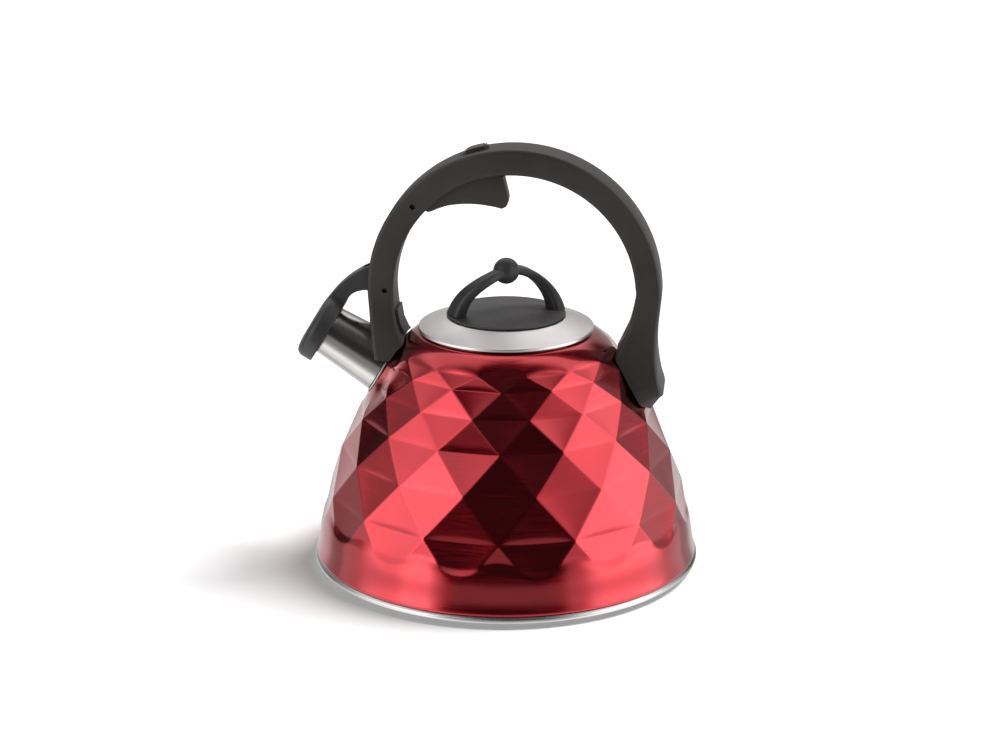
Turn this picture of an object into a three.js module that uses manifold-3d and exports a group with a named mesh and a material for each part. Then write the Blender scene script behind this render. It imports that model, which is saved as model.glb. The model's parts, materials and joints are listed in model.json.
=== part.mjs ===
// Stovetop whistling kettle, in millimetres, +Z up.
// The body axis is the Z axis, the kettle stands on z = 0 and the spout points towards -X.
import * as THREE from 'three';
import { mergeVertices } from 'three/addons/utils/BufferGeometryUtils.js';
import Module from 'manifold-3d';

const wasm = await Module();
wasm.setup();

// ---------------------------------------------------------------- driving dimensions

const GAP = 0.3; // kept between pieces that touch
const THROUGH = 20; // half length of a cut that runs right through
const ROUND = 60; // sides of the large circles
const ARC_STEP = 4; // most degrees in one side of an arc

// body shell: rings of facet corners, every second ring turned by half a step
const FACETS = 15;
const FACET_STEP = (2 * Math.PI) / FACETS;
const FACET_START = THREE.MathUtils.degToRad(3.54);
const FACET_RINGS = [
  { r: 107.0, z: 18.0, half: true },
  { r: 101.6, z: 44.9, half: false },
  { r: 93.8, z: 68.8, half: true },
  { r: 83.8, z: 89.8, half: false },
  { r: 75.2, z: 106.4, half: true },
  { r: 67.0, z: 119.6, half: false },
  { r: 62.0, z: 127.3, half: true },
];
const SHEET = 1.7; // wall of the shell, measured level
const SHELL_BASE = { r: 109.2, z: 7.0 };
const BAND_TOP = { r: 107.7, z: 14.0 };
const SHOULDER_LOW = { r: 58.6, z: 130.0 };
const SHOULDER_HIGH = { r: 51.0, z: 135.5 };
const CREST = { r: 48.4, z: 136.5 };
const MOUTH = { r: 45.3, low: 129.5, lipR: 45.9, lipZ: 135.6, high: 134.3 };
const INNER_MOUTH = { r: 47.0, high: 133.9 };
const INNER_DROP = 0.8; // how far the shoulder's inner side lies below its outer side

// base
const PAN = { low: 4.8, high: 6.4, r: 110.0, rimLow: 2.8 };
const CAPSULE = { r: 88.0, high: 4.5, chamfer: 1.2 };

// lid
const LID = { r: 49.5, lipLow: 136.9, lipHigh: 139.2, topZ: 144.9, topR: 34.0, sheet: 1.0 };
const SKIRT = { rIn: 42.6, rOut: 43.6, low: 128.0, high: 138.4 };
const SEAL = { rIn: 43.9, rOut: 45.0, low: 130.0, high: 133.0 };
const KNOB_BASE = { r: 33.6, low: 145.2, edge: 145.8, seat: 145.9, crown: 147.2 };
const BOW = {
  turn: THREE.MathUtils.degToRad(20.7), // of the whole bow about Z
  foot: 29.2, low: 142.1, rise: 28.0, sway: 6.5, // centre line, which sways like an S in plan
  footThick: 8.3, topThick: 4.6, footWide: 10.0, topWide: 7.8,
};
const BOW_CHAMFER = 1.2;
const BALL = { r: 7.4, z: 170.2 };
const KNOB_SCREW = { at: 29.0, r: 1.6, headR: 3.3, headHigh: 2.0, length: 11.0 };
const KNOB_WASHER = { rIn: 1.9, rOut: 3.85, thick: 0.8 };

// spout, measured along its axis from SPOUT.point
const SPOUT = {
  point: new THREE.Vector3(-99.55, 0, 131.8),
  rise: THREE.MathUtils.degToRad(31),
  tip: 6.0, tipR: 14.0, root: -34.4, rootR: 17.2, tailR: 16.6, tail: -46.0, wall: 1.0,
};
const FLANGE = { rIn: 16.95, rOut: 18.9, low: -35.7, high: -34.7 };
const NECK = {
  r: 18.5, high: -36.0, kneeR: 20.5, kneeHigh: -39.0, spreadR: 27.0, low: -47.0, boreR: 16.95,
};
const SPOUT_ROUND = 48; // sides of the neck, the flange and the tube
const STRAINER = { r: 15.25, low: -44.6, high: -43.8, hole: 1.6, pitch: 5.0 };

// whistle lever: the arm with its hood, and what the hood holds
const HOOD_ROUND = 48; // sides of the hood
const HOOD = { r: 20.6, low: 1.5, high: 12.6, edge: 4.5, cavityR: 15.5, cavity: 10.6, outlet: 3.0 };
const WHISTLE = {
  seal: { rIn: 10.5, rOut: 15.15, low: 6.3, high: 7.5 },
  inner: { hole: 1.5, r: 15.15, low: 7.8, high: 8.4 },
  spacer: { rIn: 12.0, rOut: 15.15, low: 8.7, high: 9.4 },
  outer: { hole: 1.5, r: 15.15, low: 9.7, high: 10.3 },
};
const LEVER_PIVOT = { x: -67.3, z: 159.8 };
const LEVER_HALF = 5.5;
const LEVER_HUB = 3.0;
const LINK = { x: -71.7, z: 168.0, r: 1.1, half: 5.2 };
const LINK_SLOT = { half: 1.5, low: 166.3, high: 173.4 };

// handle: an arch between two flared legs, in the plane y = 0
const ARCH = { x: 5.0, z: 159.3, rOut: 82.3, xIn: 5.2, zIn: 159.0, rIn: 67.8 };
const HANDLE_HALF = 11.5;
const HANDLE_CHAMFER = 2.3;
const FRONT_LEG = [
  { out: [-72.8, 121.0], inn: [-46, 120], half: 18.5 },
  { out: [-73.3, 125.5], inn: [-52, 126], half: 18.5 },
  { out: [-74, 130], inn: [-56.8, 131.5], half: 17.5 },
  { out: [-75.6, 139], inn: [-60.4, 140], half: 14.0 },
  { out: [-76.4, 148], inn: [-61.8, 148.3], half: 12.0 },
];
const REAR_LEG = [
  { out: [86.1, 146], inn: [70.3, 145.4], half: 11.5 },
  { out: [85.4, 138], inn: [68.0, 138.6], half: 12.0 },
  { out: [85.3, 129.5], inn: [64.0, 129.5], half: 13.5 },
  { out: [85.8, 122], inn: [60, 118], half: 16.0 },
  { out: [87.3, 112], inn: [62, 103], half: 19.0 },
  { out: [89.3, 106], inn: [64, 92], half: 18.0 },
  { out: [89.6, 104], inn: [66, 85.6], half: 12.4 },
  { out: [89.2, 102.6], inn: [72, 79.7], half: 5.0 },
];
const CHANNEL = { half: 6.2, rOut: 80.3, rIn: 68.6 };
const TRIGGER_SLOT = { rOut: 75.9, from: 86, to: 141 };

// trigger: finger blade, hub on its pin, and a limb down the front of the arch
const TRIGGER_PIVOT = { x: -51.1, z: 208.2 };
const TRIGGER_HALF = 5.5;
const TRIGGER_TOP = { r: 70.0, from: 103, to: 131 };
const LIMB_HALF = 2.0;
const HUB_R = 4.4;
const PIN = { r: 1.2, half: 9.0 };

const BUTTON = { x: -17.5, long: 15.4, half: 4.6, floorR: 77.2, underR: 79.6, gap: 0.5 };
const BUTTON_SPRING = { r: 2.2, wire: 0.5, low: 234.2, high: 236.6, turns: 3 };
const TRIGGER_SPRING = { r: 3.2, wire: 0.6, low: 2.9, high: 5.2, turns: 3 };

// steel tongues that hold the handle's feet, and their screws
const FRONT_TONGUE = { x: -68.6, thick: 1.5, half: 7.0, low: 133.2, high: 149.5 };
const REAR_TONGUE = { x: 73.2, thick: 1.5, half: 8.0, low: 111.0, high: 142.0 };
const HANDLE_SCREW = { r: 1.7, headR: 3.6, headHigh: 2.2, access: 12.0 };
const FRONT_SCREW = { head: -62.2, tip: -71.8, z: 143.0 };
const REAR_SCREW = { head: 69.4, tip: 79.0, z: 137.5 };
const SCREW_CHAMFER = 0.7;

// ---------------------------------------------------------------- colours

const RED = { color: 0xa8202c, roughness: 0.22, metalness: 0.9 };
const STEEL = { color: 0xc4c2c0, roughness: 0.3, metalness: 1.0 };
const ALUMINIUM = { color: 0xa9abad, roughness: 0.5, metalness: 1.0 };
const BLACK = { color: 0x252525, roughness: 0.55, metalness: 0.0 };
const SILICONE = { color: 0x6b6b6b, roughness: 0.7, metalness: 0.0 };

// ---------------------------------------------------------------- geometry helpers

function toSolid(geometry) {
  const bare = geometry.clone();
  bare.deleteAttribute('normal');
  bare.deleteAttribute('uv');
  const merged = mergeVertices(bare, 1e-4);
  return new wasm.Manifold(new wasm.Mesh({
    numProp: 3,
    vertProperties: new Float32Array(merged.attributes.position.array),
    triVerts: new Uint32Array(merged.index.array),
  }));
}

function toGeometry(solid) {
  const mesh = solid.getMesh();
  const geometry = new THREE.BufferGeometry();
  geometry.setAttribute('position', new THREE.BufferAttribute(mesh.vertProperties, 3));
  geometry.setIndex(new THREE.BufferAttribute(mesh.triVerts, 1));
  return geometry;
}

// Turned shape about +Z from [radius, height] points; a ring's profile closes on itself.
function turned(points, sides, ring = false) {
  const profile = points.map(([r, z]) => new THREE.Vector2(r, z));
  if (ring) profile.push(profile[0].clone());
  return new THREE.LatheGeometry(profile, sides).rotateX(Math.PI / 2);
}

function ringProfile({ rIn, rOut, low, high }) {
  return [[rIn, low], [rOut, low], [rOut, high], [rIn, high]];
}

function discProfile(r, low, high) {
  return [[0, low], [r, low], [r, high], [0, high]];
}

// Prism with an outline in the XZ plane, between y = -half and y = half.
function sidePrism(outline, half) {
  const shape = new THREE.Shape(outline.map(([x, z]) => new THREE.Vector2(x, z)));
  const geometry = new THREE.ExtrudeGeometry(shape, { depth: 2 * half, bevelEnabled: false });
  return geometry.rotateX(Math.PI / 2).translate(0, half, 0);
}

// Round bar across the kettle, along Y.
function crossBar(x, z, r, half, sides = 20) {
  return new THREE.CylinderGeometry(r, r, 2 * half, sides).translate(x, 0, z);
}

// Round bar along X between two places.
function lengthBar(xLow, xHigh, z, r, sides = 20) {
  const bar = new THREE.CylinderGeometry(r, r, xHigh - xLow, sides).rotateZ(Math.PI / 2);
  return bar.translate((xLow + xHigh) / 2, 0, z);
}

// Places a shape made about +Z on the spout's axis.
function onSpout(geometry) {
  const along = new THREE.Vector3(-Math.cos(SPOUT.rise), 0, Math.sin(SPOUT.rise));
  const side = new THREE.Vector3(Math.sin(SPOUT.rise), 0, Math.cos(SPOUT.rise));
  const place = new THREE.Matrix4().makeBasis(side, new THREE.Vector3(0, 1, 0), along);
  return geometry.applyMatrix4(place.setPosition(SPOUT.point));
}

function spoutPoint(along, up) {
  const { point, rise } = SPOUT;
  return [
    point.x - along * Math.cos(rise) + up * Math.sin(rise),
    point.z + along * Math.sin(rise) + up * Math.cos(rise),
  ];
}

// Points on an arc of the arch; angles in degrees from +X.
function arcPoints(cx, cz, r, from, to) {
  const steps = Math.ceil(Math.abs(to - from) / ARC_STEP);
  return Array.from({ length: steps + 1 }, (_, i) => {
    const a = THREE.MathUtils.degToRad(from + ((to - from) * i) / steps);
    return [cx + r * Math.cos(a), cz + r * Math.sin(a)];
  });
}

// Smooth curve through rows of numbers, with more rows between them.
function smoothRows(rows, parts) {
  const out = [];
  for (let k = 0; k + 1 < rows.length; k += 1) {
    const [b, c] = [rows[k], rows[k + 1]];
    const a = rows[k - 1] ?? b.map((v, i) => 2 * v - c[i]);
    const d = rows[k + 2] ?? c.map((v, i) => 2 * v - b[i]);
    for (let j = 0; j < parts; j += 1) {
      const t = j / parts;
      out.push(b.map((v, i) => 0.5 * (
        2 * v + (c[i] - a[i]) * t + (2 * a[i] - 5 * v + 4 * c[i] - d[i]) * t * t
        + (3 * v - a[i] - 3 * c[i] + d[i]) * t ** 3
      )));
    }
  }
  return [...out, rows.at(-1)];
}

// Closed skin through loops of equal length, turned outward whatever their direction.
function loft(loops) {
  const n = loops[0].length;
  const corners = loops.flat();
  const faces = [];
  for (let k = 0; k + 1 < loops.length; k += 1) {
    for (let i = 0; i < n; i += 1) {
      const [a, b] = [k * n + i, k * n + ((i + 1) % n)];
      faces.push(a, b, b + n, a, b + n, a + n);
    }
  }
  const last = (loops.length - 1) * n;
  for (let i = 1; i + 1 < n; i += 1) {
    faces.push(0, i + 1, i, last, last + i, last + i + 1);
  }
  return skin(corners, faces);
}

function skin(corners, faces) {
  let volume = 0;
  for (let i = 0; i < faces.length; i += 3) {
    const [a, b, c] = [corners[faces[i]], corners[faces[i + 1]], corners[faces[i + 2]]];
    volume += a.dot(b.clone().cross(c));
  }
  const geometry = new THREE.BufferGeometry().setFromPoints(corners);
  geometry.setIndex(volume > 0 ? faces : faces.toReversed());
  return geometry;
}

// Coil spring about +Z, with its wire ending square.
function coil({ r, wire, low, high, turns }) {
  class Helix extends THREE.Curve {
    getPoint(t, target = new THREE.Vector3()) {
      const a = 2 * Math.PI * turns * t;
      return target.set(r * Math.cos(a), r * Math.sin(a), low + (high - low) * t);
    }
  }
  const section = new THREE.Shape();
  section.absarc(0, 0, wire / 2, 0, 2 * Math.PI);
  return new THREE.ExtrudeGeometry(section, {
    extrudePath: new Helix(), steps: 10 * turns, curveSegments: 3, bevelEnabled: false,
  });
}

// ---------------------------------------------------------------- body shell

function facetRing({ r, z, half }) {
  const start = FACET_START + (half ? FACET_STEP / 2 : 0);
  return Array.from({ length: FACETS }, (_, j) => {
    const a = start + j * FACET_STEP;
    return new THREE.Vector3(r * Math.sin(a), -r * Math.cos(a), z);
  });
}

function roundRing(r, z) {
  return Array.from({ length: ROUND }, (_, j) => {
    const a = FACET_START + (j * 2 * Math.PI) / ROUND;
    return new THREE.Vector3(r * Math.sin(a), -r * Math.cos(a), z);
  });
}

// Angle of a ring's corner j about Z, counted on past a full turn.
function cornerAngle(ring, j) {
  const p = ring[j % ring.length];
  const first = Math.atan2(p.x, -p.y) - FACET_START + 1e-6;
  const turn = first < 0 ? first + 2 * Math.PI : first;
  return turn + 2 * Math.PI * Math.floor(j / ring.length);
}

// Triangles between two rings that may have different numbers of corners.
function zip(low, lowStart, high, highStart, faces) {
  let [i, j] = [0, 0];
  while (i < low.length || j < high.length) {
    const a = lowStart + (i % low.length);
    const b = highStart + (j % high.length);
    const stepLow = j >= high.length
      || (i < low.length && cornerAngle(low, i + 1) <= cornerAngle(high, j + 1));
    if (stepLow) {
      faces.push(a, lowStart + ((i + 1) % low.length), b);
      i += 1;
    } else {
      faces.push(a, highStart + ((j + 1) % high.length), b);
      j += 1;
    }
  }
}

// The facet rings, moved out by one amount and up by another.
function facetRings(out, up = 0) {
  return FACET_RINGS.map(({ r, z, half }) => facetRing({ r: r + out, z: z + up, half }));
}

function shellRings() {
  const outer = [
    roundRing(SHELL_BASE.r, SHELL_BASE.z),
    roundRing(BAND_TOP.r, BAND_TOP.z),
    ...facetRings(0),
    roundRing(SHOULDER_LOW.r, SHOULDER_LOW.z),
    roundRing(SHOULDER_HIGH.r, SHOULDER_HIGH.z),
    roundRing(CREST.r, CREST.z),
    roundRing(MOUTH.lipR, MOUTH.lipZ),
    roundRing(MOUTH.r, MOUTH.high),
    roundRing(MOUTH.r, MOUTH.low),
  ];
  const inner = [
    roundRing(INNER_MOUTH.r, MOUTH.low),
    roundRing(INNER_MOUTH.r, INNER_MOUTH.high),
    roundRing(SHOULDER_HIGH.r - SHEET, SHOULDER_HIGH.z - INNER_DROP),
    roundRing(SHOULDER_LOW.r - SHEET, SHOULDER_LOW.z - INNER_DROP),
    ...facetRings(-SHEET).toReversed(),
    roundRing(BAND_TOP.r - SHEET, BAND_TOP.z),
    roundRing(SHELL_BASE.r - SHEET, SHELL_BASE.z),
  ];
  return [...outer, ...inner];
}

function sheetShell() {
  const rings = shellRings();
  const starts = [];
  rings.reduce((sum, ring) => (starts.push(sum), sum + ring.length), 0);
  const faces = [];
  rings.forEach((ring, k) => {
    const next = (k + 1) % rings.length;
    zip(ring, starts[k], rings[next], starts[next], faces);
  });
  return toSolid(skin(rings.flat(), faces));
}

// Solid through rings from the lowest up, flat at both ends, which have ROUND corners.
function stack(rings) {
  const faces = [];
  let start = 0;
  for (let k = 0; k + 1 < rings.length; k += 1) {
    zip(rings[k], start, rings[k + 1], start + rings[k].length, faces);
    start += rings[k].length;
  }
  for (let i = 1; i + 1 < ROUND; i += 1) {
    faces.push(0, i + 1, i, start, start + i, start + i + 1);
  }
  return toSolid(skin(rings.flat(), faces));
}

// The space inside the shell's sheet, used to trim what would reach into the water.
function chamber() {
  const inset = SHEET + 0.4;
  return stack([
    roundRing(SHELL_BASE.r - inset, 0),
    roundRing(BAND_TOP.r - inset, BAND_TOP.z),
    ...facetRings(-inset),
    roundRing(SHOULDER_LOW.r - inset, SHOULDER_LOW.z - INNER_DROP),
    roundRing(SHOULDER_HIGH.r - inset, SHOULDER_HIGH.z - INNER_DROP),
  ]);
}

// The neck's side, from the shell up to the flange, with a clearance round it.
function neckProfile(clear) {
  const { r, high, spreadR, low, kneeR, kneeHigh } = NECK;
  return [[0, low], [spreadR + clear, low], [kneeR + clear, kneeHigh + clear], [r + clear, high]];
}

// The drawn neck spreads from the flange into the shell, and is open to the water.
function bodyShell() {
  const { high, low, boreR } = NECK;
  const neck = toSolid(onSpout(turned([...neckProfile(0), [0, high]], SPOUT_ROUND)));
  const bore = toSolid(onSpout(turned(discProfile(boreR, low - 12, high + 2), SPOUT_ROUND)));
  const seatR = FLANGE.rOut + 4 * GAP;
  const above = toSolid(onSpout(turned(discProfile(seatR, high, high + 2 * THROUGH), SPOUT_ROUND)));
  return toGeometry(sheetShell().subtract(above).add(neck.subtract(chamber())).subtract(bore));
}

// ---------------------------------------------------------------- base, spout and lid

function basePan() {
  const { low, high, r, rimLow } = PAN;
  return turned([
    [0, low], [r - 5.5, low], [r - 4, rimLow + 0.9], [r - 1.6, rimLow], [r, rimLow + 1.2],
    [r, rimLow + 2.6], [r - 1, high + 0.3], [r - 3, high + 0.3], [r - 4.6, high], [0, high],
  ], ROUND);
}

function baseCapsule() {
  const { r, high, chamfer } = CAPSULE;
  return turned([[0, 0], [r - chamfer, 0], [r, chamfer], [r, high], [0, high]], ROUND);
}

function spoutTube() {
  const { tip, tipR, root, rootR, tailR, tail, wall } = SPOUT;
  return onSpout(turned([
    [tailR, tail], [tailR, root - 0.3], [rootR, root], [tipR, tip - 1], [tipR, tip],
    [tipR - wall, tip], [rootR - wall - 0.4, root], [tailR - wall, tail],
  ], SPOUT_ROUND, true));
}

function spoutFlange() {
  return onSpout(turned(ringProfile(FLANGE), SPOUT_ROUND, true));
}

function spoutStrainer() {
  const { r, low, high, hole, pitch } = STRAINER;
  let plate = toSolid(turned(discProfile(r, low, high), 24));
  for (let k = 0; k < 7; k += 1) {
    const a = (k * Math.PI) / 3;
    const out = k < 6 ? 1.6 * pitch : 0;
    const drill = turned(discProfile(hole, low - 1, high + 1), 8);
    plate = plate.subtract(toSolid(drill.translate(out * Math.cos(a), out * Math.sin(a), 0)));
  }
  return onSpout(toGeometry(plate));
}

function lidPlate() {
  const { r, lipLow, lipHigh, topZ, topR, sheet } = LID;
  const plate = toSolid(turned([
    [0, topZ - sheet], [topR - 1, topZ - sheet], [r - 2, lipLow + 0.7], [r - 0.9, lipLow],
    [r, lipLow + 0.5], [r, lipHigh - 0.6], [r - 0.7, lipHigh], [r - 1.7, lipHigh - 0.2],
    [topR, topZ], [0, topZ],
  ], ROUND));
  return toGeometry(plate.subtract(knobScrewHoles(LID.topZ - THROUGH, LID.topZ + THROUGH)));
}

function knobScrewHoles(low, high) {
  const holes = [-1, 1].map((side) => {
    const hole = turned(discProfile(KNOB_SCREW.r + GAP, low, high), 14);
    return toSolid(hole.translate(side * KNOB_SCREW.at, 0, 0).rotateZ(BOW.turn));
  });
  return holes[0].add(holes[1]);
}

function knobBase() {
  const { r, low, edge, seat, crown } = KNOB_BASE;
  const disc = turned([
    [0, low], [r, low], [r, edge], [r - 0.8, edge + 0.6], [r * 0.6, crown - 0.4], [0, crown],
  ], ROUND);
  const seats = [-1, 1].map((side) => {
    const room = new THREE.BoxGeometry(BOW.footThick + 3.4, BOW.footWide + 2, THROUGH);
    return toSolid(room.translate(side * BOW.foot, 0, seat + THROUGH / 2).rotateZ(BOW.turn));
  });
  const solid = seats.reduce((sum, room) => sum.subtract(room), toSolid(disc));
  return toGeometry(solid.subtract(knobScrewHoles(low - THROUGH, low + THROUGH)));
}

// Strap arch between two feet, thinner and narrower towards the ball at its top.
function knobBow() {
  const { foot, low, rise, sway, footThick, topThick, footWide, topWide, turn } = BOW;
  const steps = 32;
  const loops = Array.from({ length: steps + 1 }, (_, k) => {
    const a = (Math.PI * k) / steps;
    const [along, up] = [-Math.cos(a), Math.sin(a)];
    const thick = THREE.MathUtils.lerp(footThick, topThick, up) / 2;
    const wide = THREE.MathUtils.lerp(footWide, topWide, up) / 2;
    const [t, w] = [thick - BOW_CHAMFER, wide - BOW_CHAMFER];
    const section = [
      [t, -wide], [thick, -w], [thick, w], [t, wide], [-t, wide], [-thick, w], [-thick, -w], [-t, -wide],
    ];
    return section.map(([out, side]) => new THREE.Vector3(
      along * (foot + out), side + sway * Math.sin(Math.PI * along), low + up * (rise + out),
    ));
  });
  const turnDegrees = THREE.MathUtils.radToDeg(turn);
  const ball = new THREE.SphereGeometry(BALL.r, 28, 18).rotateX(Math.PI / 2).translate(0, 0, BALL.z);
  const below = toSolid(turned(discProfile(60, low - THROUGH, KNOB_BASE.seat + GAP), 24));
  const holeTop = knobScrewSeat() + KNOB_SCREW.length + GAP;
  return toGeometry(
    toSolid(loft(loops)).rotate([0, 0, turnDegrees]).subtract(below).add(toSolid(ball))
      .subtract(knobScrewHoles(low - THROUGH, holeTop)),
  );
}

// Height of the upper side of a knob screw's head, under its washer.
function knobScrewSeat() {
  return LID.topZ - LID.sheet - 2 * GAP - KNOB_WASHER.thick;
}

function knobScrew(side) {
  const { at, r, headR, headHigh, length } = KNOB_SCREW;
  const seat = knobScrewSeat();
  const [low, tip, c] = [seat - headHigh, seat + length, SCREW_CHAMFER];
  const screw = turned([
    [0, low], [headR - c, low], [headR, low + c], [headR, seat],
    [r, seat], [r, tip - c], [r - c, tip], [0, tip],
  ], 12);
  return screw.translate(side * at, 0, 0).rotateZ(BOW.turn);
}

function knobWasher(side) {
  const { rIn, rOut, thick } = KNOB_WASHER;
  const high = LID.topZ - LID.sheet - GAP;
  const washer = turned(ringProfile({ rIn, rOut, low: high - thick, high }), 14, true);
  return washer.translate(side * KNOB_SCREW.at, 0, 0).rotateZ(BOW.turn);
}

// ---------------------------------------------------------------- handle

// Chamfered rectangle from the inner to the outer side of the handle.
function handleSection({ out, inn, half }) {
  const inner = new THREE.Vector3(inn[0], 0, inn[1]);
  const across = new THREE.Vector3(out[0], 0, out[1]).sub(inner);
  const deep = across.length();
  across.normalize();
  const c = HANDLE_CHAMFER;
  const corners = [
    [c, -half], [deep - c, -half], [deep, c - half], [deep, half - c],
    [deep - c, half], [c, half], [0, half - c], [0, c - half],
  ];
  return corners.map(([u, y]) => inner.clone().addScaledVector(across, u).setY(y));
}

function handleStations() {
  const steps = 18;
  const arch = Array.from({ length: steps + 1 }, (_, i) => {
    const a = Math.PI * (1 - i / steps);
    return {
      out: [ARCH.x + ARCH.rOut * Math.cos(a), ARCH.z + ARCH.rOut * Math.sin(a)],
      inn: [ARCH.xIn + ARCH.rIn * Math.cos(a), ARCH.zIn + ARCH.rIn * Math.sin(a)],
      half: HANDLE_HALF,
    };
  });
  const rows = [...FRONT_LEG, ...arch, ...REAR_LEG].map(({ out, inn, half }) => [...out, ...inn, half]);
  return smoothRows(rows, 3).map(([xo, zo, xi, zi, half]) => ({ out: [xo, zo], inn: [xi, zi], half }));
}

// Everything that the feet must stay clear of: shell, neck, flange and tube.
function footClearance() {
  const clear = GAP + 0.1;
  const body = stack([
    roundRing(SHELL_BASE.r + clear, 0),
    ...facetRings(clear, clear),
    roundRing(SHOULDER_LOW.r + clear, SHOULDER_LOW.z + clear),
    roundRing(SHOULDER_HIGH.r + clear, SHOULDER_HIGH.z + clear),
    roundRing(CREST.r, CREST.z + clear),
  ]);
  const { tip, tipR, rootR } = SPOUT;
  const flangeR = FLANGE.rOut + clear;
  const spout = turned([
    ...neckProfile(clear).slice(0, 3), [flangeR, FLANGE.low - clear], [flangeR, FLANGE.high + clear],
    [rootR + clear, FLANGE.high + clear], [tipR + clear, tip], [0, tip],
  ], SPOUT_ROUND);
  return body.add(toSolid(onSpout(spout)));
}

// Hollow of the front leg and arch, for the trigger's limb and the lever's tail.
function limbChannel() {
  const { half, rOut, rIn } = CHANNEL;
  const outline = [
    ...arcPoints(ARCH.x, ARCH.z, rOut, 180, 128),
    ...arcPoints(ARCH.xIn, ARCH.zIn, rIn, 124, 180),
    [LEVER_PIVOT.x + LEVER_HUB + 0.4, LEVER_PIVOT.z - LEVER_HUB - 0.5],
    [-76.0, LEVER_PIVOT.z - LEVER_HUB - 0.5],
  ];
  const mouth = [
    [-90, 181], [-72, 181], [-66, 175], [-66, 156.2], [-70, 151.0], [-90, 151.0],
  ];
  return toSolid(sidePrism(outline, half)).add(toSolid(sidePrism(mouth, half)));
}

function triggerSlot() {
  const { rOut, from, to } = TRIGGER_SLOT;
  const outline = [
    ...arcPoints(ARCH.xIn, ARCH.zIn, rOut, from, to),
    ...arcPoints(ARCH.xIn, ARCH.zIn, ARCH.rIn - 6, to, from + 1),
  ];
  return toSolid(sidePrism(outline, CHANNEL.half));
}

// Upright pill, as seen from above, for the thumb button and its pocket.
function pill(grow) {
  const { x, long, half } = BUTTON;
  const shape = new THREE.Shape();
  const straight = long / 2 - half;
  shape.absarc(x + straight, 0, half + grow, -Math.PI / 2, Math.PI / 2);
  shape.absarc(x - straight, 0, half + grow, Math.PI / 2, (3 * Math.PI) / 2);
  const options = { depth: 30, curveSegments: 8, bevelEnabled: false };
  return new THREE.ExtrudeGeometry(shape, options).translate(0, 0, 220);
}

function archDisc(r) {
  return toSolid(crossBar(ARCH.xIn, ARCH.zIn, r, 30, 90));
}

// Room round a steel tongue, open at its lower end.
function tongueRoom({ x, thick, half, low, high }) {
  const top = high + GAP;
  const room = new THREE.BoxGeometry(thick + 2 * GAP, 2 * (half + GAP), top - low + 12);
  return room.translate(x, 0, (top + low - 12) / 2);
}

function handle() {
  const cuts = [
    footClearance(),
    limbChannel(),
    triggerSlot(),
    toSolid(pill(BUTTON.gap)).subtract(archDisc(BUTTON.floorR)),
    toSolid(crossBar(TRIGGER_PIVOT.x, TRIGGER_PIVOT.z, PIN.r + GAP, THROUGH)),
    toSolid(crossBar(LEVER_PIVOT.x, LEVER_PIVOT.z, PIN.r + GAP, THROUGH)),
    toSolid(tongueRoom(FRONT_TONGUE)),
    toSolid(tongueRoom(REAR_TONGUE)),
    ...screwRoom(FRONT_SCREW, 1),
    ...screwRoom(REAR_SCREW, -1),
  ];
  const whole = toSolid(loft(handleStations().map(handleSection)));
  return toGeometry(largest(cuts.reduce((sum, cut) => sum.subtract(cut), whole)));
}

function largest(solid) {
  return solid.decompose().sort((a, b) => b.volume() - a.volume())[0];
}

// Hole for a screw and for its head, which the driver reaches from the side given by toHead.
function screwRoom({ head, tip, z }, toHead) {
  const { r, headR, headHigh, access } = HANDLE_SCREW;
  const mouth = head + toHead * access;
  const room = (from, radius) => {
    return toSolid(lengthBar(Math.min(from, mouth), Math.max(from, mouth), z, radius + GAP));
  };
  return [room(tip - toHead * GAP, r), room(head - toHead * (headHigh + GAP), headR)];
}

function handleScrew({ head, tip, z }) {
  const { r, headR, headHigh } = HANDLE_SCREW;
  const [length, c] = [Math.abs(tip - head), SCREW_CHAMFER];
  const screw = turned([
    [0, 0], [headR - c, 0], [headR, c], [headR, headHigh], [r, headHigh],
    [r, length - c], [r - c, length], [0, length],
  ], 12);
  return screw.rotateY((Math.sign(tip - head) * Math.PI) / 2).translate(head, 0, z);
}

function tongue({ x, thick, half, low, high }, screwZ) {
  const plate = new THREE.BoxGeometry(thick, 2 * half, high - low).translate(x, 0, (high + low) / 2);
  const hole = toSolid(lengthBar(x - THROUGH, x + THROUGH, screwZ, HANDLE_SCREW.r + GAP));
  return toGeometry(toSolid(plate).subtract(hole).subtract(footClearance()));
}

// Plate on the inner side of the front leg, over its screw.
function legCover() {
  const face = [[-61.5, 148.0], [-60.2, 140.0], [-57.6, 134.2]];
  const outline = [...face, ...face.toReversed().map(([x, z]) => [x + 1.2, z + 0.2])];
  return toGeometry(toSolid(sidePrism(outline, 8.5)).subtract(footClearance()));
}

// ---------------------------------------------------------------- moving pieces

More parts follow.
